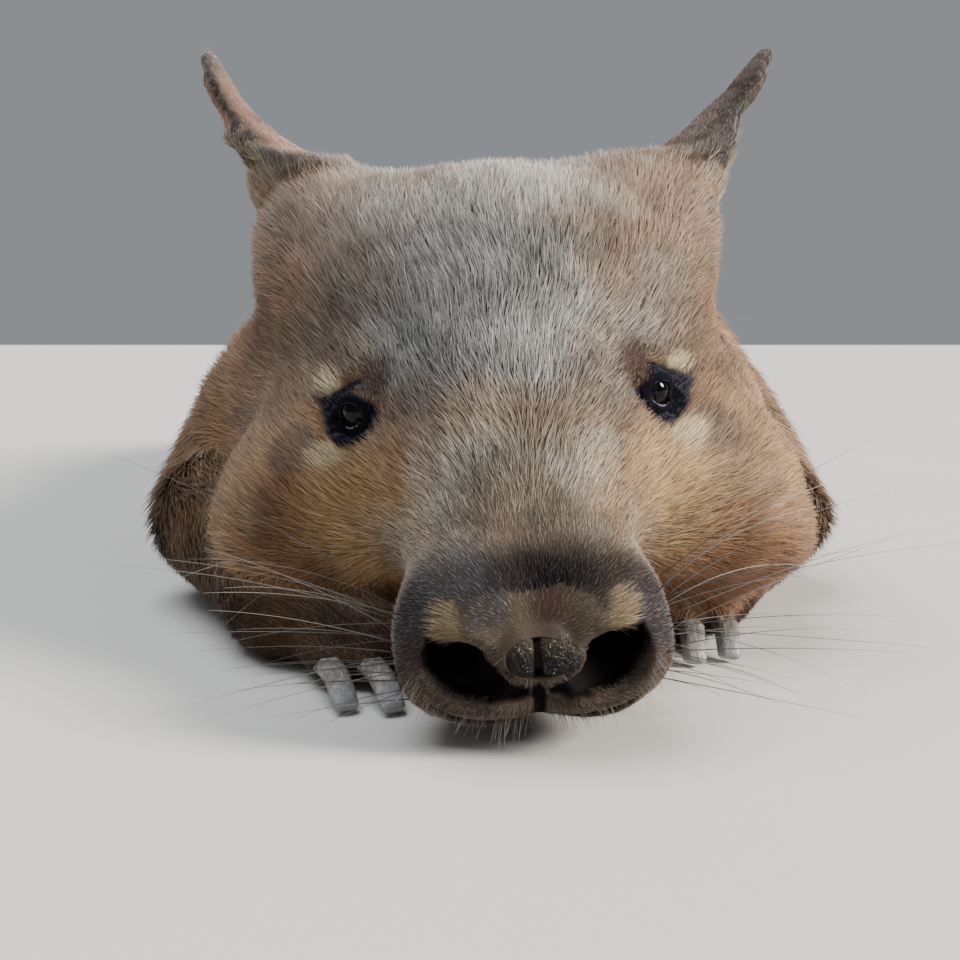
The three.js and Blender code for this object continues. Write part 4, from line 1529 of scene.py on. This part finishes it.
@dataclass
class EyeBall:
    """An eyeball with its clear bulge, and the wet rims of its lids."""

    eye: Eye
    bulge: float = 0.45 * MM
    rim: float = 0.36 * MM

    def build(self) -> None:
        """Makes the ball and the rim."""
        self._ball()
        self._rim()

    def _ball(self) -> None:
        """The ball replaces its CAD node."""
        body = bmesh.new()
        turn = Vector(self.eye.axis).to_track_quat("Z", "Y").to_matrix().to_4x4()
        place = Matrix.Translation(self.eye.centre) @ turn
        bmesh.ops.create_uvsphere(
            body, u_segments=48, v_segments=32, radius=self.eye.radius - 0.15 * MM, matrix=place
        )
        for vertex in body.verts:
            outer, upward, along = (v[0] for v in self.eye.seen(np.array([vertex.co])))
            swell = self.bulge * max(0.0, 1.0 - math.hypot(outer, upward) / (4.6 * MM)) ** 0.7
            if along > 0.0:
                vertex.co += Vector(self.eye.axis) * swell
        for face in body.faces:
            face.smooth = True
        mesh = bpy.data.meshes.new("eye")
        body.to_mesh(mesh)
        body.free()
        finish = EyeFinish(tuple(self.eye.centre), tuple(self.eye.axis)).make(self.eye.side)
        finish_piece(mesh, f"eyeball_{self.eye.side}", finish, [f"eye_{self.eye.side}"])

    def _rim(self) -> None:
        """A thin wet roll along the edge of the lids."""
        body = bmesh.new()
        upright = Matrix.Translation((1, 0, 0)) @ Matrix.Rotation(math.pi / 2, 4, "X")
        bmesh.ops.create_circle(body, segments=8, radius=0.1, matrix=upright)
        turn = {"cent": (0, 0, 0), "axis": (0, 0, 1), "angle": math.tau, "steps": 56}
        bmesh.ops.spin(body, geom=body.edges[:], use_merge=True, **turn)
        outward, upward = (Vector(v) for v in self.eye.basis())
        axis, centre = Vector(self.eye.axis), Vector(self.eye.centre)
        middle = upward * -LIDS.drop
        tones = []
        for vertex in body.verts:
            ring = math.hypot(vertex.co.x, vertex.co.y)
            out, up = (ring - 1.0) / 0.1 * self.rim, vertex.co.z / 0.1 * self.rim
            a, b = LIDS.edge(math.atan2(vertex.co.y, vertex.co.x))
            on = math.sqrt((self.eye.radius + 0.45 * MM) ** 2 - a * a - b * b)
            edge = outward * a + upward * b
            vertex.co = centre + edge + (edge - middle).normalized() * out + axis * (on + up)
            # The rim's lower part is painted paler: pinkish lid skin with a painted highlight of wetness
            low = min(max((-3.2 * MM - b) / (1.6 * MM), 0.0), 1.0)
            tones.append(tuple(0.008 + low * (end - 0.008) for end in (0.22, 0.17, 0.2)))
        bmesh.ops.recalc_face_normals(body, faces=body.faces)
        for face in body.faces:
            face.smooth = True
        mesh = bpy.data.meshes.new("lid")
        body.to_mesh(mesh)
        body.free()
        set_tone(mesh, np.array(tones))
        finish_piece(mesh, f"lid_rim_{self.eye.side}", LidFinish().make())


@dataclass
class NosePad:
    """The bare pad between the nostrils: two granular lobes with a groove between them."""

    lobe: Place = (6.6, 4.8, 7.4)
    centre: Place = (4.6, 2.0, 29.8)
    right: float = 1.22
    voxel: float = 0.36 * MM

    def build(self) -> None:
        """Makes the pad in place of its CAD node."""
        body = bmesh.new()
        for sign in (1, -1):
            spot = Matrix.Translation((sign * self.centre[0], *self.centre[1:]))
            lean = Matrix.Rotation(sign * -0.25, 4, "Y")
            place = spot @ lean @ Matrix.Diagonal((*self.lobe, 1.0))
            bmesh.ops.create_uvsphere(body, u_segments=40, v_segments=24, radius=1.0, matrix=place)
        mesh = bpy.data.meshes.new("pad")
        body.to_mesh(mesh)
        body.free()
        shaped = points_of(mesh)
        shaped[:, 0] *= np.where(shaped[:, 0] > 0.0, self.right, 1.0)
        set_points(mesh, POSE.to_row(shaped))
        mesh = with_modifier(mesh, "REMESH", mode="VOXEL", voxel_size=self.voxel)
        edges = edges_of(mesh)
        points = relax(points_of(mesh), edges, np.full(len(mesh.vertices), 0.5), 8)
        set_points(mesh, points)
        x, _, z = POSE.to_head(points).T
        x = x / np.where(x > 0.0, self.right, 1.0)
        groove = 1.5 * np.exp(-((x / 0.7) ** 2)) * step(38.5, 35.5, z)
        granules = 0.5 * (grain(points, 0.0011, 51) - 0.5) + 0.25 * (grain(points, 0.0006, 52) - 0.5)
        set_points(mesh, points + normals_of(mesh) * ((granules - groove) * MM)[:, None])
        off = np.hypot((np.abs(x) - self.centre[0]) / self.lobe[0], (z - self.centre[2]) / self.lobe[2])
        upper = step(29.0, 35.0, z + 1.6 * (grain(points, 0.0016, 53) - 0.5))
        set_value(mesh, step(0.72, 1.0, off) * step(1.5, 4.0, np.abs(x)) * 0.6 + 0.4 * upper, "margin")
        beside = step(1.0, 1.9, np.abs(x)) * (0.35 + 0.65 * step(6.5, 3.0, np.abs(x)))
        set_value(mesh, beside * step(1.02, 0.8, off), "sand")
        mesh.polygons.foreach_set("use_smooth", np.ones(len(mesh.polygons), bool))
        finish_piece(mesh, "nose_pad", NoseFinish().make(), ["nose"])


@dataclass
class Whiskers:
    """Long stiff hairs that sweep back from the muzzle, a few by the eyes, and a fringe on the lip."""

    skin: Skin
    each_side: int = 28
    fringe: int = 120
    joints: int = 11
    seed: int = 23
    thick: float = 0.17 * MM
    root_tone: Colour = (0.03, 0.024, 0.021)
    end_tone: Colour = (0.8, 0.76, 0.68)

    def build(self) -> None:
        """Makes all whiskers as one piece."""
        tree = BVHTree.FromPolygons(
            [v.co for v in self.skin.mesh.vertices], [p.vertices[:] for p in self.skin.mesh.polygons]
        )
        chance = np.random.default_rng(self.seed)
        points, faces, tones = [], [], []
        for start, way, length in self._roots(chance):
            found = tree.find_nearest(Vector(POSE.to_row(np.array([start]))[0]))
            root = np.array(found[0])
            line = self._line(root, POSE.turned(np.array([way]))[0], length, chance)
            base = len(points)
            ring, tube_faces = self._tube(line, min(1.0, 0.3 + length / 60.0))
            points += list(ring)
            faces += [[base + i for i in face] for face in tube_faces]
            pale = chance.uniform(0.1, 0.4) if chance.random() < 0.6 else chance.uniform(0.5, 0.8)
            soon = chance.uniform(1.1, 2.8)
            shares = np.repeat(np.linspace(0.0, 1.0, self.joints), 5) ** soon
            tones += [np.array(self.root_tone) + pale * share * np.array(self.end_tone) for share in shares]
            tones += [tones[-1], tones[-1]]
        mesh = bpy.data.meshes.new("whiskers")
        mesh.from_pydata(points, [], faces)
        mesh.polygons.foreach_set("use_smooth", np.ones(len(mesh.polygons), bool))
        set_tone(mesh, np.array(tones))
        finish_piece(mesh, "whiskers", WhiskerFinish().make())

    def _roots(self, chance: np.random.Generator) -> list[tuple[Place, Place, float]]:
        """Places, directions and lengths on the straight head, in millimetres."""
        made = []
        for sign in (1, -1):
            for index in range(self.each_side):
                row, step_back = index % 6, index // 6
                back = 8.0 + 6.5 * step_back + chance.uniform(-2.0, 2.0)
                height = 15.0 + 5.6 * row + chance.uniform(-1.6, 1.6)
                start = (sign * (38.0 + 0.06 * back), back, height)
                fan = (height - 28.0) / 18.0
                way = (
                    sign * chance.uniform(0.8, 1.0),
                    chance.uniform(-0.25, 0.5) + 0.004 * back,
                    0.02 + 0.7 * fan + chance.uniform(-0.15, 0.15),
                )
                long = chance.uniform(48.0, 112.0) if row > 1 else chance.uniform(30.0, 66.0)
                made.append((start, way, long))
            for spot, way in (
                ((62, 96, 108), (0.45, -0.5, 0.95)),
                ((58, 92, 110), (0.25, -0.45, 1.0)),
                ((66, 100, 106), (0.7, -0.35, 0.8)),
                ((82, 84, 46), (0.9, -0.35, 0.1)),
                ((80, 80, 38), (0.9, -0.4, -0.2)),
                ((84, 88, 54), (0.95, -0.2, 0.3)),
            ):
                length = chance.uniform(26.0, 44.0)
                made.append(((sign * spot[0], *spot[1:]), (sign * way[0], *way[1:]), length))
            for _ in range(self.fringe):
                side = chance.uniform(2.5, 35.0)
                height = 13.2 + 0.012 * side**2 + chance.uniform(-1.0, 1.5)
                way = (sign * (0.1 + 0.02 * side), chance.uniform(-0.7, 0.2), chance.uniform(-1.1, -0.6))
                made.append(((sign * side, 3.0, height), way, chance.uniform(4.0, 11.0)))
        return made

    def _line(
        self, root: np.ndarray, way: np.ndarray, length: float, chance: np.random.Generator
    ) -> np.ndarray:
        """A drooping curve from a root, kept above the floor."""
        t = np.linspace(0.0, 1.0, self.joints)[:, None]
        droop = np.array([0.0, 0.16, -0.3]) + chance.normal(0.0, 0.09, 3)
        lowest = -0.5 * (root[2] / MM - 3.5) / length
        way = np.array([way[0], way[1], max(way[2], lowest)])
        droop[2] = max(droop[2], lowest)
        return root - way * 1.2 * MM + (way * t + droop * t**2) * length * MM

    def _tube(self, line: np.ndarray, thickness: float) -> tuple[np.ndarray, list[list[int]]]:
        """A thin tapered tube along a line, closed at both ends."""
        way = unit(np.gradient(line, axis=0))
        side = unit(np.cross(way, [0.13, 0.2, 0.97]))
        up = np.cross(side, way)
        angles = np.linspace(0.0, math.tau, 5, endpoint=False)
        taper = 1.0 - 0.75 * np.linspace(0.0, 1.0, self.joints)
        radius = self.thick * thickness * taper[:, None, None]
        across = side[:, None, :] * np.cos(angles)[None, :, None]
        ring = across + up[:, None, :] * np.sin(angles)[None, :, None]
        points = (line[:, None, :] + ring * radius).reshape(-1, 3)
        points = np.vstack([points, line[0], line[-1]])
        faces = []
        for joint in range(self.joints - 1):
            for k in range(5):
                a, b = joint * 5 + k, joint * 5 + (k + 1) % 5
                faces.append([a, b, b + 5, a + 5])
        first, last = self.joints * 5, self.joints * 5 + 1
        end = (self.joints - 1) * 5
        faces += [[first, (k + 1) % 5, k] for k in range(5)]
        faces += [[last, end + k, end + (k + 1) % 5] for k in range(5)]
        return points, faces


@dataclass
class Claws:
    """The claws, rounded over and dressed as worn horn."""

    def build(self) -> None:
        """Makes one piece for each claw node."""
        material = HornFinish().make()
        for name in frame_nodes():
            if "claw" in name:
                self._claw(name, material)

    def _claw(self, name: str, material: bpy.types.Material) -> None:
        """A claw from its CAD node, with finer faces."""
        body = merged_copy(bpy.data.objects[name])
        bmesh.ops.dissolve_limit(body, angle_limit=0.02, verts=body.verts, edges=body.edges)
        bmesh.ops.triangulate(body, faces=body.faces)
        for _ in range(2):
            bmesh.ops.subdivide_edges(body, edges=body.edges[:], cuts=1, use_grid_fill=True)
            bmesh.ops.smooth_vert(
                body, verts=body.verts, factor=0.4, use_axis_x=True, use_axis_y=True, use_axis_z=True
            )
        body.normal_update()
        for vertex in body.verts:
            vertex.co += vertex.normal * 0.5 * MM
            vertex.co.z = max(vertex.co.z, 0.3 * MM)
        for face in body.faces:
            face.smooth = True
        mesh = bpy.data.meshes.new(name)
        body.to_mesh(mesh)
        body.free()
        points = points_of(mesh)
        away = points - points.mean(axis=0)
        axis = np.linalg.eigh(away.T @ away)[1][:, 2]
        forward = away @ (axis if axis[1] < 0.0 else -axis)
        set_value(mesh, (forward - forward.min()) / max(float(np.ptp(forward)), 1e-6), "along")
        run = away - 0.93 * np.outer(away @ axis, axis) + points.mean(axis=0)
        layer = mesh.attributes.new("run", "FLOAT_VECTOR", "POINT")
        layer.data.foreach_set("vector", run.astype(np.float32).ravel())
        finish_piece(mesh, f"horn_{name}", material, [name])


# Studio


@dataclass(frozen=True)
class Lamp:
    """A broad soft light that comes evenly from one direction."""

    name: str
    source: Place
    strength: float
    spread: float
    colour: Colour = (1.0, 1.0, 1.0)


@dataclass
class Studio:
    """A pale floor, soft lights and the photograph's camera."""

    lens: float = 1030.0 / 960.0 * 36.0
    pitch: float = math.radians(8.5)
    height: float = 0.120
    before_nose: float = 0.2696
    lamps: tuple[Lamp, ...] = (
        Lamp("key", (0.86, -0.16, 0.48), 7.2, 18.0, (1.0, 0.95, 0.87)),
        Lamp("top", (-0.3, 0.12, 0.95), 3.0, 45.0, (0.92, 0.96, 1.0)),
    )
    ambient: float = 0.3

    def build(self) -> None:
        """Makes the stage, the lights and the camera."""
        self._floor()
        for lamp in self.lamps:
            self._lamp(lamp)
        world = bpy.data.worlds.new("studio")
        world.use_nodes = True
        background = world.node_tree.nodes["Background"]
        background.inputs["Color"].default_value = (0.9, 0.95, 1.0, 1.0)
        background.inputs["Strength"].default_value = self.ambient
        bpy.context.scene.world = world
        self._camera()

    def _floor(self) -> None:
        """A large plain floor."""
        body = bmesh.new()
        bmesh.ops.create_grid(body, x_segments=4, y_segments=4, size=6.0)
        mesh = bpy.data.meshes.new("floor")
        body.to_mesh(mesh)
        body.free()
        mesh.materials.append(FloorFinish().make())
        put(mesh, "floor")

    def _lamp(self, lamp: Lamp) -> None:
        """One light that shines from its source's direction."""
        light = bpy.data.lights.new(lamp.name, "SUN")
        light.angle = math.radians(lamp.spread)
        light.energy = lamp.strength
        light.color = lamp.colour
        piece = bpy.data.objects.new(lamp.name, light)
        piece.rotation_euler = Vector(lamp.source).to_track_quat("Z", "Y").to_euler()
        bpy.context.scene.collection.objects.link(piece)

    def _camera(self) -> None:
        """The camera stands low before the nose and looks a little down."""
        view = bpy.data.cameras.new("camera")
        view.lens = self.lens
        view.sensor_width = 36.0
        view.clip_start = 0.01
        piece = bpy.data.objects.new("camera", view)
        piece.location = (0.0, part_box("nose")[0].y - self.before_nose, self.height)
        piece.rotation_euler = (math.pi / 2.0 - self.pitch, 0.0, 0.0)
        bpy.context.scene.collection.objects.link(piece)
        bpy.context.scene.camera = piece


def main() -> None:
    """Builds the wombat's looks in order."""
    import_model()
    Studio().build()
    eyes = [Eye.of(side) for side in SIDES]
    skin = Skin(eyes)
    skin.build()
    skin.dress()
    Coat(skin).build()
    for eye in eyes:
        EyeBall(eye).build()
    NosePad().build()
    Whiskers(skin).build()
    Claws().build()


if __name__ == "__main__":
    logging.basicConfig(level=logging.INFO, format="%(message)s", stream=sys.stdout)
    main()
